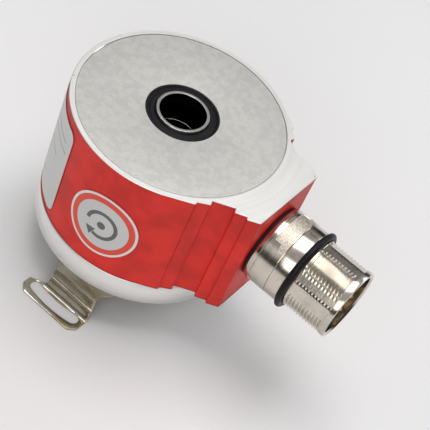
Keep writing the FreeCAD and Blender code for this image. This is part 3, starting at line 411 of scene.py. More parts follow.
class Finish:
    """One procedural material."""

    def __init__(self, name, **constants):
        self.material = bpy.data.materials.new(name)
        self.material.use_nodes = True
        self.tree = self.material.node_tree
        self.shader = self.tree.nodes["Principled BSDF"]
        for socket, value in constants.items():
            self.put(self.shader.inputs[socket.replace("_", " ")], value)

    def put(self, socket, value):
        if isinstance(value, Signal):
            self.tree.links.new(value.socket, socket)
        elif hasattr(value, "__len__") and socket.type == "RGBA":
            socket.default_value = (*value[:3], 1.0)
        else:
            socket.default_value = value

    def node(self, kind, settings=None, sockets=None, output=0):
        """Add a node, make its settings, then fill its sockets with values or links."""
        node = self.tree.nodes.new("ShaderNode" + kind)
        for key, value in (settings or {}).items():
            setattr(node, key, value)
        for key, value in (sockets or {}).items():
            self.put(node.inputs[key], value)
        return Signal(self, node.outputs[output])

    def feed(self, **links):
        for socket, value in links.items():
            self.put(self.shader.inputs[socket.replace("_", " ")], value)
        return self.material

    def math(self, operation, first, second=0.0):
        return self.node("Math", {"operation": operation}, {0: first, 1: second})

    def place(self, x=1.0, y=1.0, z=1.0):
        """Object coordinates in millimetres, stretched along each axis."""
        spot = self.node("TexCoord", output="Object")
        return self.node("VectorMath", {"operation": "MULTIPLY"},
                         {0: spot, 1: (x / MM, y / MM, z / MM)})

    def axes(self, vector):
        return [self.node("SeparateXYZ", sockets={0: vector}, output=i) for i in range(3)]

    def bundle(self, x, y, z=0.0):
        return self.node("CombineXYZ", sockets={0: x, 1: y, 2: z})

    def noise(self, vector, scale, detail=3.0, roughness=0.55):
        return self.node("TexNoise", sockets={"Vector": vector, "Scale": scale, "Detail": detail,
                                              "Roughness": roughness})

    def cells(self, vector, scale):
        return self.node("TexVoronoi", sockets={"Vector": vector, "Scale": scale})

    def between(self, value, low, high, to_low=0.0, to_high=1.0):
        """Smooth step from one level to another."""
        return self.node("MapRange", {"interpolation_type": "SMOOTHSTEP"},
                         {"Value": value, "From Min": low, "From Max": high,
                          "To Min": to_low, "To Max": to_high})

    def band(self, value, low, high, soft=0.03):
        rising = self.between(value, low - soft, low + soft)
        falling = self.between(value, high - soft, high + soft, 1.0, 0.0)
        return rising * falling

    def mix(self, first, second, factor):
        """Blend two colours."""
        node = self.tree.nodes.new("ShaderNodeMix")
        node.data_type = "RGBA"
        self.put(node.inputs[0], factor)
        self.put(node.inputs[6], first)
        self.put(node.inputs[7], second)
        return Signal(self, node.outputs[2])

    def bump(self, height, distance, strength=1.0):
        """Normal bent by a height; the distance is in millimetres."""
        return self.node("Bump", sockets={"Height": height, "Distance": distance * MM,
                                          "Strength": strength})


def shaded(tone, factor):
    """A colour made darker or lighter by a factor."""
    return tuple(min(1.0, channel * factor) for channel in tone[:3])


def turning_marks(f, along_x=False, fineness=9.0):
    """Noise drawn out round an axis, as a lathe tool leaves it."""
    x, y, z = f.axes(f.place())
    if along_x:
        x, y, z = y, z - CONN_Z, x
    radius = f.math("SQRT", x * x + y * y)
    angle = f.math("ARCTAN2", y, x)
    return f.noise(f.bundle(radius * fineness, z * fineness, angle * 1.5), 1.0, 2.0)


# ---- Finishes -----------------------------------------------------------------
def paint_finish(tone):
    """Satin powder paint with a fine orange peel, dulled near the seam."""
    f = Finish("red_paint", Specular_IOR_Level=0.22)
    spot = f.place()
    peel = f.noise(spot, 3.2, 2.0)
    cloud = f.noise(spot, 0.12, 2.0)
    height = f.axes(spot)[2]
    seam = f.between(height, SEAM_Z, SEAM_Z + 0.5, 0.55, 0.0)
    worn = f.mix(shaded(tone, 0.86), shaded(tone, 1.10), f.between(cloud, 0.35, 0.65))
    grain = f.mix(worn, shaded(tone, 0.7), f.between(f.noise(spot, 9.0, 1.0), 0.55, 0.85) * 0.35)
    base = f.mix(grain, shaded(tone, 0.35), seam)
    rough = f.between(peel, 0.3, 0.7, 0.40, 0.52)
    return f.feed(Base_Color=base, Roughness=rough, Normal=f.bump(peel, 0.02, 0.55))


def bare_finish(tone):
    """Machined aluminium with turning marks and a few dark pits."""
    f = Finish("bare_aluminium", Metallic=0.72)
    marks = turning_marks(f)
    spot = f.place()
    pits = f.between(f.cells(spot, 0.45), 0.05, 0.11, 1.0, 0.0)
    chosen = f.between(f.noise(spot, 0.35, 1.0), 0.60, 0.64)
    clean = f.mix(shaded(tone, 0.93), tone, f.between(marks, 0.3, 0.7))
    base = f.mix(clean, shaded(tone, 0.35), pits * chosen)
    rough = f.between(marks, 0.25, 0.75, 0.34, 0.46)
    return f.feed(Base_Color=base, Roughness=rough, Normal=f.bump(marks, 0.012, 0.6))


def foil_finish(tone):
    """Matt rear disc, finely speckled."""
    f = Finish("grey_foil", Metallic=0.35)
    spot = f.place()
    fine = f.noise(spot, 2.6, 3.0, 0.75)
    coarse = f.noise(spot, 0.55, 2.0)
    soft = f.mix(shaded(tone, 0.93), shaded(tone, 1.05), f.between(coarse, 0.35, 0.65))
    speck = f.mix(soft, shaded(tone, 0.72), f.between(fine, 0.52, 0.72) * 0.55)
    flecks = f.between(f.cells(spot, 0.33), 0.03, 0.08, 1.0, 0.0)
    base = f.mix(speck, shaded(tone, 0.45), flecks * f.between(fine, 0.45, 0.6))
    rough = f.between(fine, 0.35, 0.7, 0.48, 0.64)
    return f.feed(Base_Color=base, Roughness=rough, Normal=f.bump(fine, 0.015, 0.6))


def rubber_finish(tone):
    """Moulded rubber with tiny pale specks all over."""
    f = Finish("black_rubber", Specular_IOR_Level=0.18)
    spot = f.place()
    skin = f.noise(spot, 5.0, 3.0)
    # Tiny pale grey specks, one in each cell of a coarse pattern.
    pale_specks = f.between(f.cells(spot, 0.7), 0.03, 0.07, 1.0, 0.0)
    base = f.mix(f.mix(tone, shaded(tone, 2.2), f.between(skin, 0.4, 0.7)), (0.35, 0.34, 0.33), pale_specks * 0.6)
    rough = f.between(skin, 0.3, 0.7, 0.34, 0.5)
    return f.feed(Base_Color=base, Roughness=rough, Normal=f.bump(skin, 0.03, 0.5))


def nickel_finish(tone):
    """Nickel plate with turning marks; frosted where the mesh says so."""
    f = Finish("nickel_plate", Metallic=1.0)
    marks = turning_marks(f, along_x=True, fineness=6.0)
    spot = f.place()
    frost = f.node("Attribute", {"attribute_name": "frost"}, output="Fac")
    grit = f.noise(spot, 2.4, 3.0, 0.75)
    stain = f.between(f.noise(spot, 0.25, 3.0), 0.42, 0.68)
    plain = f.mix(tone, shaded(tone, 0.82), stain)
    frosted = f.mix(shaded(tone, 0.72), shaded(tone, 1.15), f.between(grit, 0.42, 0.58))
    base = f.mix(plain, frosted, frost)
    smooth = f.between(marks, 0.3, 0.7, 0.13, 0.22)
    rough = smooth + frost * f.between(grit, 0.3, 0.7, 0.28, 0.45)
    height = marks * 0.10 * (1 - frost) + grit * frost
    return f.feed(Base_Color=base, Roughness=rough, Normal=f.bump(height, 0.07, 0.7))


def spring_finish(tone):
    """Rolled spring steel, streaked along its width, with a little tarnish."""
    f = Finish("spring_steel", Metallic=1.0)
    streak = f.noise(f.place(0.25, 6.0, 6.0), 1.0, 3.0)
    tarnish = f.between(f.noise(f.place(), 0.22, 3.0), 0.38, 0.68)
    warm = (tone[0] * 0.86, tone[1] * 0.78, tone[2] * 0.62)
    base = f.mix(f.mix(tone, warm, tarnish), shaded(tone, 1.22), f.between(streak, 0.5, 0.72))
    rough = f.between(streak, 0.3, 0.7, 0.13, 0.22)
    return f.feed(Base_Color=base, Roughness=rough, Normal=f.bump(streak, 0.012, 0.7))


def machined_finish(name, tone, low, high, along_x=False):
    """Turned metal, with the lowest and the highest roughness of its marks."""
    f = Finish(name, Metallic=1.0)
    marks = turning_marks(f, along_x)
    base = f.mix(shaded(tone, 0.85), shaded(tone, 1.08), f.between(marks, 0.3, 0.7))
    rough = f.between(marks, 0.3, 0.7, low, high)
    return f.feed(Base_Color=base, Roughness=rough, Normal=f.bump(marks, 0.008, 0.6))


def moulded_finish(name, tone, low, high):
    """Moulded plastic with a fine grain."""
    f = Finish(name)
    skin = f.noise(f.place(), 4.0, 2.0)
    base = f.mix(shaded(tone, 0.88), shaded(tone, 1.1), f.between(skin, 0.35, 0.65))
    rough = f.between(skin, 0.3, 0.7, low, high)
    return f.feed(Base_Color=base, Roughness=rough, Normal=f.bump(skin, 0.01, 0.5))


def board_finish():
    """Green solder mask over copper tracks with rows of plated holes."""
    f = Finish("board_green", Coat_Weight=0.3)
    spot = f.place()
    x, y = f.axes(spot)[:2]
    weave = f.math("SINE", x * 2.1) * f.math("SINE", y * 2.1)
    tracks = f.between(f.math("ABSOLUTE", f.math("SINE", (x + y) * 1.6)), 0.86, 0.93)
    holes = f.between(f.cells(spot, 0.3), 0.10, 0.14, 1.0, 0.0)
    mask = f.mix((0.006, 0.075, 0.028), (0.012, 0.125, 0.045), tracks)
    base = f.mix(mask, (0.72, 0.62, 0.38), holes)
    rough = f.between(weave, -1.0, 1.0, 0.3, 0.42)
    return f.feed(Base_Color=base, Roughness=rough, Metallic=holes * 0.9, Normal=f.bump(tracks, 0.03, 0.5))


def coded_glass_finish():
    """Glass disc with fine printed divisions in two rings."""
    f = Finish("coded_glass", Metallic=0.2, IOR=1.5)
    x, y = f.axes(f.place())[:2]
    radius = f.math("SQRT", x * x + y * y)
    angle = f.math("ARCTAN2", y, x)
    fine = f.between(f.math("SINE", angle * 360.0), -0.1, 0.1) * f.band(radius, 15.6, 17.2)
    coarse = f.between(f.math("SINE", angle * 24.0), -0.05, 0.05) * f.band(radius, 13.2, 14.6)
    base = f.mix((0.55, 0.62, 0.62), (0.03, 0.03, 0.03), f.math("MAXIMUM", fine, coarse))
    rough = f.between(f.noise(f.place(), 1.0, 2.0), 0.3, 0.7, 0.05, 0.14)
    return f.feed(Base_Color=base, Roughness=rough)


def lens_finish():
    """Clear glass."""
    f = Finish("clear_glass", Transmission_Weight=0.85, IOR=1.5)
    haze = f.noise(f.place(), 2.0, 2.0)
    base = f.mix((0.86, 0.90, 0.90), (0.95, 0.97, 0.97), haze)
    return f.feed(Base_Color=base, Roughness=f.between(haze, 0.3, 0.7, 0.02, 0.08))


def flat_axes(f):
    """A foil's own coordinates in millimetres from its middle."""
    u, v = f.axes(f.node("UVMap", {"uv_map": "flat"}))[:2]
    return (u - 0.5) * FLAT_SPAN, (v - 0.5) * FLAT_SPAN


def sticker_finish(s):
    """Round printed foil: a ring with an arrow that turns, on pale paper."""
    f = Finish("sticker_print", Coat_Weight=0.25, Coat_Roughness=0.2)
    u, v = flat_axes(f)
    radius = f.math("SQRT", u * u + v * v)
    angle = f.math("ARCTAN2", v, u)
    ring = f.band(radius, mm(s.ring_in), mm(s.ring_out))
    path_r = 4.1
    shaft = f.band(radius, path_r - 0.55, path_r + 0.55) * f.between(angle, -2.02, -1.98)
    tip = polar(path_r, math.radians(-116))
    heading = polar(1.0, math.radians(-206))
    along = (u - tip.x) * heading.x + (v - tip.y) * heading.y
    across = f.math("ABSOLUTE", (u - tip.x) * heading.y - (v - tip.y) * heading.x)
    head = f.between(along, -0.03, 0.03) * f.between(across + along * 0.62, 1.55, 1.61, 1.0, 0.0)
    hub = f.between(radius, 1.15, 1.21, 1.0, 0.0)
    marks = f.math("MAXIMUM", f.math("MAXIMUM", shaft, head), hub)
    paper = f.noise(f.place(), 4.0, 2.0)
    inner = f.mix(s.silver, shaded(s.silver, 0.92), paper)
    ground = f.mix(inner, s.paper, f.between(radius, mm(s.ring_in), mm(s.ring_out)))
    base = f.mix(f.mix(ground, s.ink, marks), s.ring, ring)
    return f.feed(Base_Color=base, Roughness=f.between(paper, 0.3, 0.7, 0.3, 0.42))


def rating_finish(s):
    """Pale foil with plain grey bars in rows."""
    f = Finish("rating_print", Metallic=0.25)
    u, v = flat_axes(f)
    row_height, margin, bar_reach, rows_reach = 2.7, 3.0, 15.0, 10.5
    row = f.math("FLOOR", v * (1 / row_height))
    inside = v * (1 / row_height) - row
    drawn = 6.0 + bar_reach * f.node("TexWhiteNoise", {"noise_dimensions": "1D"}, {"W": row}, "Value")
    start = u + (mm(s.sticker_radius) * 2 - margin)
    second = u - 1.0
    printed = f.band(f.math("ABSOLUTE", v), 0.0, rows_reach)
    first_bars = f.band(inside, 0.3, 0.52, 0.02) * f.band(start, 0.0, 4.0) * printed
    second_bars = f.between(second, 0.0, 0.06) * f.band(inside, 0.34, 0.5, 0.02)
    second_bars = second_bars * f.between(drawn - second, 0.0, 0.06) * printed
    bars = f.math("MAXIMUM", first_bars, second_bars)
    grain = f.noise(f.place(0.3, 0.3, 5.0), 1.0, 2.0)
    paper = f.mix(shaded(s.silver, 0.96), shaded(s.silver, 1.06), grain)
    base = f.mix(paper, shaded(s.ink, 2.2), bars * 0.8)
    return f.feed(Base_Color=base, Roughness=f.between(grain, 0.3, 0.7, 0.32, 0.44))


FINISHES = {}


def finish(name, make, *arguments):
    """A finish, made once and then shared."""
    if name not in FINISHES:
        FINISHES[name] = make(*arguments)
    return FINISHES[name]


def bare_metal():
    return finish("bare", bare_finish, bpy.context.scene.encoder_housing.metal)


def rubber():
    return finish("rubber", rubber_finish, bpy.context.scene.encoder_housing.rubber)


def nickel():
    return finish("nickel", nickel_finish, bpy.context.scene.encoder_connector.nickel)


def spring():
    return finish("spring", spring_finish, bpy.context.scene.encoder_coupling.steel)


def zinc():
    return finish("zinc", machined_finish, "zinc_steel", (0.62, 0.62, 0.60), 0.25, 0.4)


def black_plastic():
    return finish("carrier", moulded_finish, "black_plastic", (0.030, 0.026, 0.022), 0.4, 0.55)


# ---- Housing ------------------------------------------------------------------
# Where the flat that leaves the round body ends: how far beyond its radius, and the azimuth.
FLAT_PROUD = 0.8
FLAT_CORNER = math.radians(44.4)
# Corners of the stepped block on one side, from that flat outwards.
BLOCK_STEPS = ((21.2, 19.9), (23.8, 17.9), (23.2, 16.55), (28.3, 13.5), (28.9, 14.8),
               (31.8, 13.3), (32.2, 14.1), (COVER_HIGH.x, 12.3))


def cover_outline(s):
    """Plan of the cover: the round body and the stepped block, counter-clockwise."""
    tangent = FLAT_CORNER + math.acos(BODY_R / (BODY_R + FLAT_PROUD))
    body = arc(BODY_R, tangent, 2 * math.pi - tangent, s.facets)
    one_side = [body[0], polar(BODY_R + FLAT_PROUD, FLAT_CORNER)] + [Vector(p) for p in BLOCK_STEPS]
    other_side = [Vector((point.x, -point.y)) for point in one_side]
    return body[:-1] + eased(other_side + one_side[::-1], mm(s.corner), closed=False)[:-1]


def leaning_rim(bm, outline, level, edge):
    """Narrow band that leans in from an outline; gives its outer and its inner edges."""
    face = bm.faces.new([bm.verts.new((x, y, level)) for x, y in outline])
    face.normal_update()
    outer = list(face.edges)
    bmesh.ops.inset_region(bm, faces=[face], thickness=abs(edge), depth=edge,
                           use_even_offset=True, use_boundary=True)
    inner = list(face.edges)
    bmesh.ops.delete(bm, geom=[face], context="FACES_ONLY")
    return outer, inner


def open_circle(bm, radius, level):
    """Free edges of a round opening."""
    return [e for e in bm.edges if e.is_boundary and
            all(abs(v.co.z - level) < FINE and abs(v.co.xy.length - radius) < FINE for v in e.verts)]


def cover_shell(s):
    """Painted cover with its block, rear recess and connector hole."""
    edge = mm(s.edge)
    recess = mm(s.recess)
    inside = BODY_R - mm(s.wall)
    floor_z = REAR_Z - mm(s.recess_depth)
    ceiling = REAR_Z - mm(s.top)
    seal = SEAL_HIGH.x + FINE
    outline = cover_outline(s)
    bm = bmesh.new()
    upper, top_edges = leaning_rim(bm, outline, REAR_Z - edge, edge)
    lower, bottom_edges = leaning_rim(bm, outline, SEAM_Z + edge, -edge)
    bmesh.ops.bridge_loops(bm, edges=upper + lower)
    profile = [(recess + edge / 2, REAR_Z), (recess, REAR_Z - edge / 2), (recess, floor_z),
               (seal, floor_z), (seal, ceiling), (inside, ceiling), (inside, SEAM_Z)]
    spin_profile(bm, [(r, 0, z) for r, z in profile], s.facets, (0, 0, 0), (0, 0, 1), closed=False)
    bmesh.ops.remove_doubles(bm, verts=bm.verts, dist=FINE / 2)
    for outer, radius, level in ((top_edges, recess + edge / 2, REAR_Z), (bottom_edges, inside, SEAM_Z)):
        rim = [e for e in outer if e.is_valid] + open_circle(bm, radius, level)
        bmesh.ops.triangle_fill(bm, use_beauty=True, use_dissolve=False, edges=rim, normal=(0, 0, 1))
    bmesh.ops.recalc_face_normals(bm, faces=bm.faces)
    bore = rod(mm(s.bore), (inside - 4, 0, CONN_Z), (COVER_HIGH.x + 4, 0, CONN_Z), 96)
    bm = carved(bm, [bore])
    for face in bm.faces:
        middle = face.calc_center_median()
        outside = middle.xy.length > BODY_R - 0.6
        if outside and SEAM_Z + 1.2 * edge < middle.z < REAR_Z - 1.2 * edge:
            face.material_index = 0
        elif recess - edge < middle.xy.length < recess + edge and abs(face.normal.z) < 0.9:
            face.material_index = 2
        else:
            face.material_index = 1
    return bm


# ---- Coupling -----------------------------------------------------------------
SCREW_HOLE_R = 1.4
SCREW_HOLES_X = (-16.3, 16.3)


def fold_path(s):
    """Side view of one wing's upper face from the first bend outwards; (out, height) points."""
    top = SHEET_HIGH.z
    bend = mm(s.bend)
    jog = bend + mm(s.jog_out)
    jog_z = top - mm(s.jog_drop)
    lean, ease, level = 0.15, 0.36, 1.2    # of the wall, of each bend, and flat before the first bend
    foot = jog + 0.45
    foot_r = mm(s.foot)
    tab_z = mm(s.sheet)
    bends = [(bend - level, top), (bend, top), (bend + lean, jog_z + 0.1), (jog, jog_z - 0.05),
             (foot, tab_z + foot_r)]
    # The foot runs out into the tab along one soft curve that is steep at its start.
    steps = [i / 12 for i in range(1, 13)]
    toe = [(foot + foot_r * (0.2 * t + t * t), tab_z + foot_r * (1 - t) ** 2) for t in steps]
    return eased(bends + toe + [(SHEET_HIGH.y, tab_z)], ease, 4, 14.0, closed=False)


class Fold:
    """Maps distances along the flat sheet to the folded side view, and back."""

    def __init__(self, path):
        self.path = path
        self.reach = [path[0].x]
        for start, end in zip(path, path[1:]):
            self.reach.append(self.reach[-1] + (end - start).length)

    def folded(self, along):
        """(out, height) of a point of the sheet."""
        for i in range(len(self.path) - 1):
            if along <= self.reach[i + 1] or i == len(self.path) - 2:
                share = (along - self.reach[i]) / (self.reach[i + 1] - self.reach[i])
                return self.path[i].lerp(self.path[i + 1], share)

    def unfolded(self, out):
        """Distance along the sheet of a point seen in plan."""
        if out <= self.path[0].x:
            return out
        for i in range(len(self.path) - 1):
            if out <= self.path[i + 1].x or i == len(self.path) - 2:
                share = (out - self.path[i].x) / (self.path[i + 1].x - self.path[i].x)
                return self.reach[i] + share * (self.reach[i + 1] - self.reach[i])


def wing_edge(s):
    """Edge of the wing on the -Y side, as (across, out) points from left to right."""
    ring = mm(s.ring)
    half = mm(s.tab_half)
    end = SHEET_HIGH.y
    cut = mm(s.tab_corner)
    left, right, flare = -4.8, 9.5, 12.4
    shoulder = 28.4
    return [(left, math.sqrt(ring ** 2 - left ** 2)), (left, shoulder - 0.5), (left - 0.5, shoulder),
            (-half, shoulder + 1.5), (-half, end - cut), (cut - half, end), (half - cut, end),
            (half, end - cut), (half, shoulder + 0.4), (right, shoulder - 0.6),
            (right, ring + 1.2), (right + 0.5, ring + 0.2), (right + 1.6, ring - 1.6),
            (flare, math.sqrt(ring ** 2 - flare ** 2))]


def slot_outline(s):
    """Curved slot on the -Y side, as (across, out) points."""
    middle = mm(s.slot_circle)
    half = mm(s.slot_width) / 2
    centre = math.pi / 2
    reach = s.slot_reach
    first = polar(middle, centre - reach)
    last = polar(middle, centre + reach)
    outer = arc(middle + half, centre - reach, centre + reach, 16)
    inner = arc(middle - half, centre + reach, centre - reach, 16)
    far = arc(half, centre + reach, centre + reach + math.pi, 10, last)
    near = arc(half, centre - reach + math.pi, centre - reach + 2 * math.pi, 10, first)
    return outer + far[1:-1] + inner + near[1:-1]


def coupling_sheet(s):
    """Flat blank with its holes, folded at the bends and given its thickness."""
    fold = Fold(fold_path(s))
    ring = mm(s.ring)
    edge = eased(wing_edge(s), 0.5, 4, 12.0, closed=False)
    front = [Vector((x, -fold.unfolded(y))) for x, y in edge]
    start = math.atan2(front[-1].y, front[-1].x)
    end = math.atan2(-front[0].y, -front[0].x)
    side = arc(ring, start, end, 60)[1:-1]
    half = front + side
    outline = half + [-point for point in half]
    slot = [Vector((x, -fold.unfolded(y))) for x, y in slot_outline(s)]
    loops = [outline, slot, [-point for point in slot], arc(mm(s.opening), 0, 2 * math.pi, 120)[:-1]]
    loops += [arc(SCREW_HOLE_R, 0, 2 * math.pi, 24, (x, 0))[:-1] for x in SCREW_HOLES_X]
    bm = filled(loops)
    for sign in (-1, 1):
        for along in fold.reach[:-1]:
            sliced(bm, (0, sign * along, 0), (0, 1, 0))
    for vert in bm.verts:
        along = abs(vert.co.y)
        height = SHEET_HIGH.z
        if along > fold.reach[0]:
            out, height = fold.folded(along)
            vert.co.y = math.copysign(out, vert.co.y)
        vert.co.z = height
    bmesh.ops.recalc_face_normals(bm, faces=bm.faces)
    if sum(face.normal.z * face.calc_area() for face in bm.faces) < 0:
        bmesh.ops.reverse_faces(bm, faces=bm.faces)
    bmesh.ops.solidify(bm, geom=bm.faces[:], thickness=mm(s.sheet))
    bmesh.ops.recalc_face_normals(bm, faces=bm.faces)
    rims = [e for e in bm.edges if e.is_manifold and e.calc_face_angle() > math.radians(70)]
    bmesh.ops.bevel(bm, geom=rims, offset=0.05, offset_type="OFFSET", affect="EDGES", segments=2,
                    profile=0.5, material=-1, clamp_overlap=True)
    return bm


# ---- Connector ----------------------------------------------------------------
COLLAR_X = GASKET_HIGH.x
COLLAR_R = COLLAR_HIGH.y
BARREL_X = COLLAR_HIGH.x
SMOOTH_R = BARREL_HIGH.y
GROOVE_X = RING_LOW.x - 0.07
THREAD_X = RING_HIGH.x + 0.07
THREAD_END_X = BARREL_HIGH.x - 1.5
# Frosted patches on the collar: start and end from the collar's shoulder, half angle in degrees.
PATCHES = ((2.4, 4.5, 36.0), (4.4, 6.3, 46.0))
# Ridges between the pairs of long flats and the lean of each flat, as angles from +Y towards +Z.
FLAT_RIDGES = (67, 157, 247, 337)
FLAT_LEAN = 11
NOTCH_ANGLE = math.radians(88)   # small pocket in the smooth ring, from +Y towards +Z
NOTCH_SIZE = (2.2, 1.5, 0.75)


def broken_edge(x, radius, size, middle, way):
    """Three (along, radius) points of an edge; way is 1 where a surface starts and -1 where it ends."""
    points = [(x, radius - size), (x + way * middle[0], radius - middle[1]), (x + way * size, radius)]
    return points[::way]


def in_patch(x, angle):
    """Whether a place on the collar lies in a frosted patch; the angle is from +Y."""
    from_top = abs(math.degrees(angle) - 90) if angle > 0 else abs(math.degrees(angle) + 90)
    return any(low <= x - COLLAR_X <= high and from_top <= half for low, high, half in PATCHES)


def collar_ring(s):
    """Collar with a turned groove and the sunk, frosted patches."""
    inner, spigot = mm(s.sleeve) + 0.02, mm(bpy.context.scene.encoder_housing.bore) - 0.04
    outer = broken_edge(COLLAR_X, COLLAR_R, 0.3, (0.1, 0.09), 1)
    # The groove, as distances from the collar's shoulder and below its surface.
    groove = ((1.40, 0.0), (1.46, 0.05), (1.54, 0.2), (1.66, 0.2), (1.74, 0.05), (1.80, 0.0))
    outer += [(COLLAR_X + along, COLLAR_R - sink) for along, sink in groove]
    edges = sorted(value for low, high, _ in PATCHES for value in (low - 0.08, low, high, high + 0.08))
    outer += [(COLLAR_X + value, COLLAR_R) for value in edges]
    outer += broken_edge(BARREL_X, COLLAR_R, 0.15, (0.04, 0.05), -1)
    profile = [(COLLAR_LOW.x, inner), (COLLAR_LOW.x, spigot), (COLLAR_X, spigot)]
    bm = turned_x(profile + outer + [(BARREL_X, inner)], 360)
    frost = bm.verts.layers.float.new("frost")
    for vert in bm.verts:
        y, z = vert.co.y, vert.co.z - CONN_Z
        radius = math.hypot(y, z)
        if radius > COLLAR_R - FINE and in_patch(vert.co.x, math.atan2(z, y)):
            share = (radius - mm(s.patch)) / radius
            vert.co.y = y * share
            vert.co.z = CONN_Z + z * share
            vert[frost] = 1.0
    return bm


def thread_strip(s, crest, start, end):
    """Threaded tube wall: one ridge and groove swept along a helix, faded and cut flat at both ends."""
    pitch, depth = mm(s.pitch), mm(s.depth)
    turns = math.ceil((end - start) / pitch) + 2
    # One pitch of the V groove, as shares of the pitch and of the depth.
    shape = ((0.0, 0.0), (0.10, 0.0), (0.30, 0.5), (0.50, 1.0), (0.58, 1.0), (0.78, 0.5), (1.0, 0.0))
    bm = bmesh.new()
    verts = [bm.verts.new((start - pitch + share * pitch, 0, CONN_Z + crest - cut * depth))
             for share, cut in shape]
    edges = [bm.edges.new(pair) for pair in zip(verts, verts[1:])]
    steps = s.facets * turns
    bmesh.ops.spin(bm, geom=verts + edges, cent=(0, 0, CONN_Z), axis=(1, 0, 0),
                   dvec=(pitch / s.facets, 0, 0), angle=2 * math.pi * turns, steps=steps)
    bmesh.ops.remove_doubles(bm, verts=bm.verts, dist=FINE)
    for vert in bm.verts:
        y, z = vert.co.y, vert.co.z - CONN_Z
        radius = math.hypot(y, z)
        fade = min(1.0, max(0.0, vert.co.x - start - 0.2) / 0.5, max(0.0, end - 0.1 - vert.co.x) / 0.5)
        share = (crest - (crest - radius) * fade) / radius
        vert.co.y, vert.co.z = y * share, CONN_Z + z * share
    for place, side in ((start, -1), (end, 1)):
        sliced(bm, (place, 0, 0), (side, 0, 0), True)
    return bm


def barrel_sleeve(s):
    """Barrel with its seal groove, a true helical thread and pairs of long flats."""
    crest, groove = mm(s.thread), mm(s.groove)
    start, finish_x = THREAD_X + 0.1, THREAD_END_X
    sleeve = mm(s.sleeve)
    wires = sleeve - mm(s.sleeve_wall)
    step_x = BARREL_X + 1.3
    end = BARREL_HIGH.x
    bm = thread_strip(s, crest, start, finish_x)
    profile = [(finish_x, crest), *broken_edge(end, crest, 0.3, (0.1, 0.09), -1),
               (end, mm(s.mouth)), (end - 0.45, mm(s.bore)), (step_x, mm(s.bore)), (step_x, wires),
               (BARREL_LOW.x, wires), (BARREL_LOW.x, sleeve), (BARREL_X, sleeve),
               *broken_edge(BARREL_X, SMOOTH_R, 0.15, (0.05, 0.05), 1),
               *broken_edge(GROOVE_X, SMOOTH_R, 0.12, (0.03, 0.03), -1),
               (GROOVE_X, groove + 0.1), (GROOVE_X + 0.1, groove), (THREAD_X, groove), (start, crest)]
    spin_profile(bm, [(x, 0, CONN_Z + r) for x, r in profile], s.facets, (0, 0, CONN_Z), (1, 0, 0),
                 closed=False)
    for place in (start, finish_x):
        ring = [e for e in bm.edges if e.is_boundary and
                all(abs(v.co.x - place) < FINE for v in e.verts)]
        bmesh.ops.remove_doubles(bm, verts=list({v for e in ring for v in e.verts}), dist=FINE / 5)
        ring = [e for e in bm.edges if e.is_boundary and
                all(abs(v.co.x - place) < FINE for v in e.verts)]
        if ring:
            bmesh.ops.bridge_loops(bm, edges=ring)
    for vert in bm.verts:
        if not start < vert.co.x < finish_x:
            continue
        across = Vector((vert.co.y, vert.co.z - CONN_Z))
        if across.length < mm(s.bore) + FINE:
            continue
        for ridge in FLAT_RIDGES * 2:
            for lean in (-FLAT_LEAN, FLAT_LEAN):
                normal = polar(1.0, math.radians(ridge + lean))
                across -= normal * max(0.0, across.dot(normal) - mm(s.flat))
        vert.co.y, vert.co.z = across.x, CONN_Z + across.y
    bmesh.ops.recalc_face_normals(bm, faces=bm.faces)
    notch = block(NOTCH_SIZE, (BARREL_X + 1.7, 0, 0))
    bmesh.ops.rotate(notch, verts=notch.verts, matrix=Matrix.Rotation(NOTCH_ANGLE - math.pi / 2, 3, "X"))
    bmesh.ops.translate(notch, vec=(0, SMOOTH_R * math.cos(NOTCH_ANGLE),
                                    CONN_Z + SMOOTH_R * math.sin(NOTCH_ANGLE)), verts=notch.verts)
    return carved(bm, [notch])


def seal_ring(section_r, middle_r, x):
    """Stretched rubber ring, a little uneven round its groove."""
    section = arc(section_r, 0, 2 * math.pi, 18)[:-1]
    bm = turned_x([(x + p.x, middle_r + p.y) for p in section], 144)
    for vert in bm.verts:
        angle = math.atan2(vert.co.z - CONN_Z, vert.co.y)
        vert.co.x += 0.07 * math.sin(3 * angle + 0.6) * math.sin(5 * angle)
    return bm


# ---- Foils --------------------------------------------------------------------
FLAT_SPAN = 100.0          # millimetres that a foil's own map covers
FOIL_T = 0.10
FOIL_R = max(v.co.xy.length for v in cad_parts["round_sticker"].data.vertices) / MM


def foil_patch(outline, azimuth, height):
    """Thin foil bent round the cover; the outline is (right, up) from its middle."""
    bm = filled([outline])
    reach = max(abs(x) for x, y in outline)
    strips = int(2 * reach / 0.8)
    for i in range(1, strips):
        sliced(bm, (-reach + 2 * reach * i / strips, 0, 0), (1, 0, 0))
    flat = bm.loops.layers.uv.new("flat")
    for face in bm.faces:
        for loop in face.loops:
            loop[flat].uv = loop.vert.co.xy / FLAT_SPAN + Vector((0.5, 0.5))
    for vert in bm.verts:
        across, up = vert.co.xy
        vert.co = (*polar(FOIL_R, azimuth + across / FOIL_R), height + up)
    bmesh.ops.recalc_face_normals(bm, faces=bm.faces)
    middle = polar(1.0, azimuth)
    if sum(face.normal.xy.dot(middle) for face in bm.faces) < 0:
        bmesh.ops.reverse_faces(bm, faces=bm.faces)
    bmesh.ops.solidify(bm, geom=bm.faces[:], thickness=FOIL_T)
    bmesh.ops.recalc_face_normals(bm, faces=bm.faces)
    return bm


def rounded_rectangle(half_width, half_height, corner):
    """Outline about the middle, counter-clockwise."""
    points = []
    for i, (x, y) in enumerate(((1, 1), (-1, 1), (-1, -1), (1, -1))):
        centre = (x * (half_width - corner), y * (half_height - corner))
        points += arc(corner, i * math.pi / 2, (i + 1) * math.pi / 2, 8, centre)
    return points


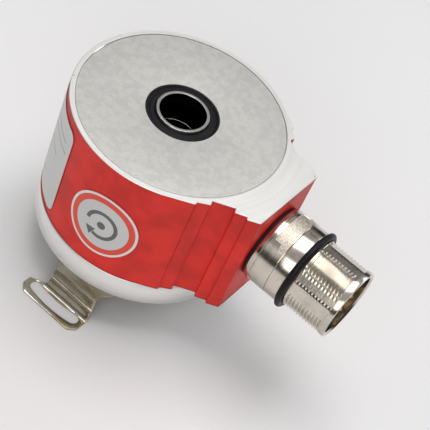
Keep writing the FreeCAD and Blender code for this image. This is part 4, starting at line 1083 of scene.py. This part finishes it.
# ---- Operators ----------------------------------------------------------------
class EncoderCover(bpy.types.Operator):
    """Build the painted cover"""
    bl_idname = "encoder.cover"
    bl_label = "Cover"

    def execute(self, context):
        s = context.scene.encoder_housing
        paint = finish("paint", paint_finish, s.paint)
        lip = finish("lip", machined_finish, "bright_lip", (0.86, 0.87, 0.90), 0.05, 0.12)
        piece("cover_shell", cover_shell(s), "housing", [paint, bare_metal(), lip],
              ["housing_cover"])
        return {"FINISHED"}


class EncoderFlange(bpy.types.Operator):
    """Build the bright flange under the cover"""
    bl_idname = "encoder.flange"
    bl_label = "Flange"

    def execute(self, context):
        dressed("flange_body", "base_flange", "housing", bare_metal())
        return {"FINISHED"}


class EncoderRearDisc(bpy.types.Operator):
    """Build the grey disc in the rear recess"""
    bl_idname = "encoder.rear_disc"
    bl_label = "Rear disc"

    def execute(self, context):
        s = context.scene.encoder_housing
        profile = [(SEAL_HIGH.x + 0.02, DISC_LOW.z), (DISC_HIGH.x, DISC_LOW.z),
                   (DISC_HIGH.x, DISC_HIGH.z), (SEAL_HIGH.x + 0.02, DISC_HIGH.z)]
        piece("rear_disc", turned(eased(profile, 0.06), s.facets), "housing",
              [finish("foil", foil_finish, s.foil)], ["back_disc"])
        return {"FINISHED"}


class EncoderSeals(bpy.types.Operator):
    """Build the two rubber seals round the shaft"""
    bl_idname = "encoder.seals"
    bl_label = "Shaft seals"

    def execute(self, context):
        lip_r = mm(context.scene.encoder_shaft.neck) + 0.05
        rise, sink = 0.25, 0.2              # of the outer rim above the lip, and of the groove below it
        top = SEAL_HIGH.z - rise
        outer = SEAL_HIGH.x
        profile = [(lip_r, SEAL_LOW.z), (outer, SEAL_LOW.z), (outer, top + rise),
                   (outer - 0.5, top + rise), (outer - 0.7, top - sink), (outer - 1.1, top - sink),
                   (outer - 1.3, top), (lip_r + rise, top), (lip_r, top - rise)]
        piece("rear_seal", turned(eased(profile, 0.1)), "housing", [rubber()],
              ["rear_shaft_seal"])
        dressed("front_seal", "front_shaft_seal", "housing", rubber())
        return {"FINISHED"}


class EncoderShaft(bpy.types.Operator):
    """Build the hollow shaft"""
    bl_idname = "encoder.shaft"
    bl_label = "Hollow shaft"

    def execute(self, context):
        s = context.scene.encoder_shaft
        bore = mm(s.bore)
        mouth = bore + mm(s.relief)
        outer, seat, collar = mm(s.neck), mm(s.seat), SHAFT_HIGH.x
        seats = [node_box(name)[0].z for name in ("front_bearing_inner_race", "bearing_spacer",
                                                  "rear_bearing_inner_race", "disc_hub")]
        front, rear = SHAFT_LOW.z, SHAFT_HIGH.z
        step = rear - mm(s.relief_depth)
        profile = [(bore, front), (outer, front), (outer, seats[0]), (seat, seats[0]), (seat, seats[1]),
                   (collar, seats[1]), (collar, seats[2]), (seat, seats[2]), (seat, seats[3]),
                   (outer, seats[3]), (outer, rear), (mouth, rear), (mouth, step), (bore, step)]
        bm = turned(eased(profile, 0.2), 128)
        slots = [block((2 * outer + 2, mm(s.slot_width), mm(s.slot_length) + 1),
                       (0, 0, front + mm(s.slot_length) / 2 - 0.5), math.radians(degrees))
                 for degrees in CLAMP_SLOTS]
        steel = finish("shaft", machined_finish, "shaft_steel", s.steel, 0.12, 0.24)
        # Near-black steel on the bore wall is painted shade: it stands for the shade deep inside the bore.
        dark = finish("bore", machined_finish, "oiled_bore", shaded(s.steel, 0.10), 0.10, 0.2)
        bm = carved(bm, slots)
        # The bore wall takes the painted shade, except the ledge at the step and the top of the mouth, which
        # keep plain steel.
        for face in bm.faces:
            middle = face.calc_center_median()
            ledge = step - 0.4 < middle.z < step + 0.1
            face.material_index = int(middle.xy.length < mouth + FINE and middle.z < rear - 0.3 and not ledge)
        piece("shaft_tube", bm, "shaft", [steel, dark], ["hollow_shaft"])
        return {"FINISHED"}


class EncoderClamp(bpy.types.Operator):
    """Build the clamping ring and its screw"""
    bl_idname = "encoder.clamp"
    bl_label = "Clamping ring"

    def execute(self, context):
        dressed("clamp_ring", "clamping_ring", "shaft", zinc(), 0.12)
        dressed("clamp_bolt", "clamp_screw", "shaft", zinc(), SCREW_EDGE)
        return {"FINISHED"}


class EncoderCoupling(bpy.types.Operator):
    """Build the folded stator coupling"""
    bl_idname = "encoder.coupling"
    bl_label = "Stator coupling"

    def execute(self, context):
        s = context.scene.encoder_coupling
        piece("coupling_plate", coupling_sheet(s), "housing",
              [spring()], ["stator_coupling"], 24.0)
        return {"FINISHED"}


class EncoderScrews(bpy.types.Operator):
    """Build the housing and coupling screws"""
    bl_idname = "encoder.screws"
    bl_label = "Screws"

    def execute(self, context):
        for name, node in (("cover_bolts", "housing_screws"), ("coupling_bolts", "coupling_screws")):
            dressed(name, node, "housing", zinc(), SCREW_EDGE)
        return {"FINISHED"}


class EncoderCollar(bpy.types.Operator):
    """Build the connector's collar and its gasket"""
    bl_idname = "encoder.collar"
    bl_label = "Connector collar"

    def execute(self, context):
        s = context.scene.encoder_connector
        inner = mm(context.scene.encoder_housing.bore)
        profile = [(GASKET_LOW.x, inner), (GASKET_LOW.x, GASKET_HIGH.y), (GASKET_HIGH.x, GASKET_HIGH.y),
                   (GASKET_HIGH.x, inner)]
        piece("gasket_ring", turned_x(eased(profile, 0.2)), "housing", [rubber()],
              ["connector_gasket"])
        piece("collar_ring", collar_ring(s), "housing", [nickel()],
              ["connector_collar"], 26.0)
        return {"FINISHED"}


class EncoderBarrel(bpy.types.Operator):
    """Build the threaded barrel and its sealing ring"""
    bl_idname = "encoder.barrel"
    bl_label = "Connector barrel"

    def execute(self, context):
        s = context.scene.encoder_connector
        piece("barrel_sleeve", barrel_sleeve(s), "housing", [nickel()],
              ["connector_barrel"], 26.0)
        section = (RING_HIGH.x - RING_LOW.x) / 2
        ring = seal_ring(section, RING_HIGH.y - section, (RING_LOW.x + RING_HIGH.x) / 2)
        piece("sealing_ring", ring, "housing", [rubber()], ["connector_o_ring"])
        return {"FINISHED"}


class EncoderInsert(bpy.types.Operator):
    """Build the contact carrier, its ring and its contacts"""
    bl_idname = "encoder.insert"
    bl_label = "Contacts"

    def execute(self, context):
        s = context.scene.encoder_connector
        gold = finish("gold", machined_finish, "gold_plate", s.gold, 0.14, 0.26, True)
        for name, node, slot, material in (
                ("contact_carrier", "connector_insert", "black_plastic", black_plastic()),
                ("carrier_ring", "insert_retaining_ring", "nickel_plate", nickel()),
                ("signal_pins", "signal_contacts", "gold_plate", gold),
                ("centre_pin", "centre_contact", "gold_plate", gold)):
            dressed(name, node, "housing", material)
        return {"FINISHED"}


class EncoderLabels(bpy.types.Operator):
    """Build the rating foil and the round foil"""
    bl_idname = "encoder.labels"
    bl_label = "Foils"

    def execute(self, context):
        s = context.scene.encoder_labels
        radius = mm(s.sticker_radius)
        height = (STICKER_LOW.z + STICKER_HIGH.z) / 2
        circle = arc(radius, 0, 2 * math.pi, 96)[:-1]
        piece("round_foil", foil_patch(circle, s.sticker_azimuth, height), "housing",
              [finish("sticker", sticker_finish, s)], ["round_sticker"])
        half_width = BODY_R * s.rating_span / 2
        half_height = (RATING_HIGH.z - RATING_LOW.z) / 2
        plate = rounded_rectangle(half_width, half_height, mm(s.rating_corner))
        middle = s.rating_start - s.rating_span / 2
        piece("rating_foil", foil_patch(plate, middle, RATING_LOW.z + half_height), "housing",
              [finish("rating", rating_finish, s)], ["rating_label"])
        return {"FINISHED"}


class EncoderInside(bpy.types.Operator):
    """Give the pieces inside the housing their finishes"""
    bl_idname = "encoder.inside"
    bl_label = "Inner pieces"

    def execute(self, context):
        turned_metal = (("bearing", "bearing_steel", (0.66, 0.66, 0.67), 0.08, 0.16),
                        ("brass", "cage_brass", (0.72, 0.52, 0.22), 0.25, 0.38),
                        ("alloy", "inner_aluminium", (0.78, 0.78, 0.77), 0.3, 0.42))
        bearing, brass, alloy = [finish(key, machined_finish, *rest) for key, *rest in turned_metal]
        plastics = (("chip", "chip_black", (0.018, 0.018, 0.020), 0.42, 0.55),
                    ("white", "white_plastic", (0.78, 0.77, 0.73), 0.32, 0.45),
                    ("cable", "cable_grey", (0.34, 0.34, 0.36), 0.45, 0.6))
        chip, white, cable = [finish(key, moulded_finish, *rest) for key, *rest in plastics]
        races = [end + "_bearing_" + part for end in ("front", "rear")
                 for part in ("inner_race", "outer_race", "balls")]
        chosen = (
            (bearing, races),
            (brass, ["front_bearing_cage", "rear_bearing_cage"]),
            (alloy, ["bearing_spacer", "disc_hub", "disc_retainer"]),
            (zinc(), ["board_posts", "board_spacers", "board_screws"]),
            (spring(), ["bearing_retaining_ring"]),
            (finish("coded_glass", coded_glass_finish), ["code_disc", "scanning_mask"]),
            (finish("lens", lens_finish), ["light_lens"]),
            (chip, ["sensor_chip", "processor_chip"]),
            (black_plastic(), ["light_source", "board_header"]),
            (white, ["cable_socket"]),
            (cable, ["ribbon_cable"]),
            (finish("board", board_finish), ["sensor_board", "interface_board"]),
            (rubber(), ["housing_o_ring"]),
        )
        for material, nodes in chosen:
            for node in nodes:
                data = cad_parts[node].data
                data.materials.clear()
                data.materials.append(material)
        return {"FINISHED"}


class EncoderStudio(bpy.types.Operator):
    """Set the floor, the lights and the camera"""
    bl_idname = "encoder.studio"
    bl_label = "Studio"

    def execute(self, context):
        s = context.scene.encoder_studio
        place_floor(s)
        place_lights(s)
        place_camera(s)
        return {"FINISHED"}


# ---- Studio -------------------------------------------------------------------
def place_floor(s):
    """Wide sheet of matt paper under the object."""
    f = Finish("floor_paper", Specular_IOR_Level=0.3)
    spot = f.node("TexCoord", output="Object")
    cloth = f.noise(spot, 900.0, 3.0)
    cloud = f.noise(spot, 6.0, 2.0)
    base = f.mix(shaded(s.floor, 0.975), s.floor, f.between(cloud, 0.35, 0.65))
    f.feed(Base_Color=base, Roughness=f.between(cloth, 0.3, 0.7, 0.6, 0.7), Normal=f.bump(cloth, 0.1, 0.25))
    bm = bmesh.new()
    bmesh.ops.create_grid(bm, x_segments=2, y_segments=2, size=2.5)
    mesh = bpy.data.meshes.new("floor")
    bm.to_mesh(mesh)
    bm.free()
    mesh.materials.append(f.material)
    floor = bpy.data.objects.new("floor", mesh)
    bpy.context.scene.collection.objects.link(floor)


def area_light(name, place, aim, size, power, tint):
    """Soft rectangular lamp that faces its aim."""
    light = bpy.data.lights.new(name, "AREA")
    light.shape = "RECTANGLE"
    light.size, light.size_y = size
    light.energy = power
    light.color = tint
    lamp = bpy.data.objects.new(name, light)
    lamp.location = place
    lamp.rotation_euler = (Vector(aim) - Vector(place)).to_track_quat("-Z", "Y").to_euler()
    bpy.context.scene.collection.objects.link(lamp)


def place_lights(s):
    """Wide soft lights above, beside the camera and behind, in a room that is dark low down."""
    aim = (0.01, -0.005, 0.03)
    area_light("key_light", (-0.02, 0.08, 0.70), aim, (0.50, 0.44), s.key, (1.0, 0.99, 0.97))
    area_light("front_light", (0.24, -0.62, 0.42), aim, (0.60, 0.40), s.front, (1.0, 0.98, 0.96))
    area_light("rim_light", (0.30, 0.55, 0.38), aim, (0.40, 0.25), s.rim, (0.95, 0.97, 1.0))
    world = bpy.data.worlds.new("studio_room")
    world.use_nodes = True
    tree = world.node_tree
    room = tree.nodes.new("ShaderNodeTexCoord")
    split = tree.nodes.new("ShaderNodeSeparateXYZ")
    ramp = tree.nodes.new("ShaderNodeValToRGB")
    stops = ((0.0, (0.05, 0.045, 0.04)), (0.30, (0.10, 0.085, 0.07)), (0.42, (0.80, 0.80, 0.80)),
             (1.0, (1.0, 1.0, 1.0)))
    while len(ramp.color_ramp.elements) < len(stops):
        ramp.color_ramp.elements.new(1.0)
    for element, (place, shade) in zip(ramp.color_ramp.elements, stops):
        element.position = place
        element.color = (*shade, 1.0)
    tree.links.new(room.outputs["Generated"], split.inputs[0])
    tree.links.new(split.outputs[2], ramp.inputs[0])
    tree.links.new(ramp.outputs[0], tree.nodes["Background"].inputs[0])
    tree.nodes["Background"].inputs[1].default_value = s.fill
    bpy.context.scene.world = world
    bpy.context.scene.view_settings.view_transform = "Standard"


def place_camera(s):
    """Camera turned about its own line of sight."""
    aim = Vector((26.34, -19.51, REAR_Z)) * MM
    away = Vector((*(polar(math.cos(s.elevation), s.azimuth)), math.sin(s.elevation)))
    camera = bpy.data.cameras.new("camera")
    camera.lens = s.lens
    camera.clip_start = 0.01
    holder = bpy.data.objects.new("camera", camera)
    holder.location = aim + away * s.distance
    turn = away.to_track_quat("Z", "Y").to_matrix() @ Euler((0, 0, s.roll)).to_matrix()
    holder.rotation_euler = turn.to_euler()
    bpy.context.scene.collection.objects.link(holder)
    bpy.context.scene.camera = holder


# ---- Panel and registration ---------------------------------------------------
OPERATORS = (EncoderStudio, EncoderCover, EncoderFlange, EncoderRearDisc, EncoderSeals, EncoderShaft,
             EncoderClamp, EncoderCoupling, EncoderScrews, EncoderCollar, EncoderBarrel,
             EncoderInsert, EncoderLabels, EncoderInside)


class EncoderPanel(bpy.types.Panel):
    """Sizes, colours and pieces of the encoder"""
    bl_idname = "VIEW3D_PT_encoder"
    bl_label = "Rotary encoder"
    bl_space_type = "VIEW_3D"
    bl_region_type = "UI"
    bl_category = "Encoder"

    def draw(self, context):
        for name, group in GROUPS.items():
            settings = self.layout.box()
            settings.label(text=group.__name__.replace("Settings", ""))
            for key in group.__annotations__:
                settings.prop(getattr(context.scene, name), key)
        for operator in OPERATORS:
            self.layout.operator(operator.bl_idname)


CLASSES = tuple(GROUPS.values()) + OPERATORS + (EncoderPanel,)


def register():
    for cls in CLASSES:
        bpy.utils.register_class(cls)
    for name, group in GROUPS.items():
        setattr(bpy.types.Scene, name, PointerProperty(type=group))


def unregister():
    for name in GROUPS:
        delattr(bpy.types.Scene, name)
    for cls in reversed(CLASSES):
        bpy.utils.unregister_class(cls)


def main():
    register()
    for operator in OPERATORS:
        group, name = operator.bl_idname.split(".")
        getattr(getattr(bpy.ops, group), name)()


if __name__ == "__main__":
    main()
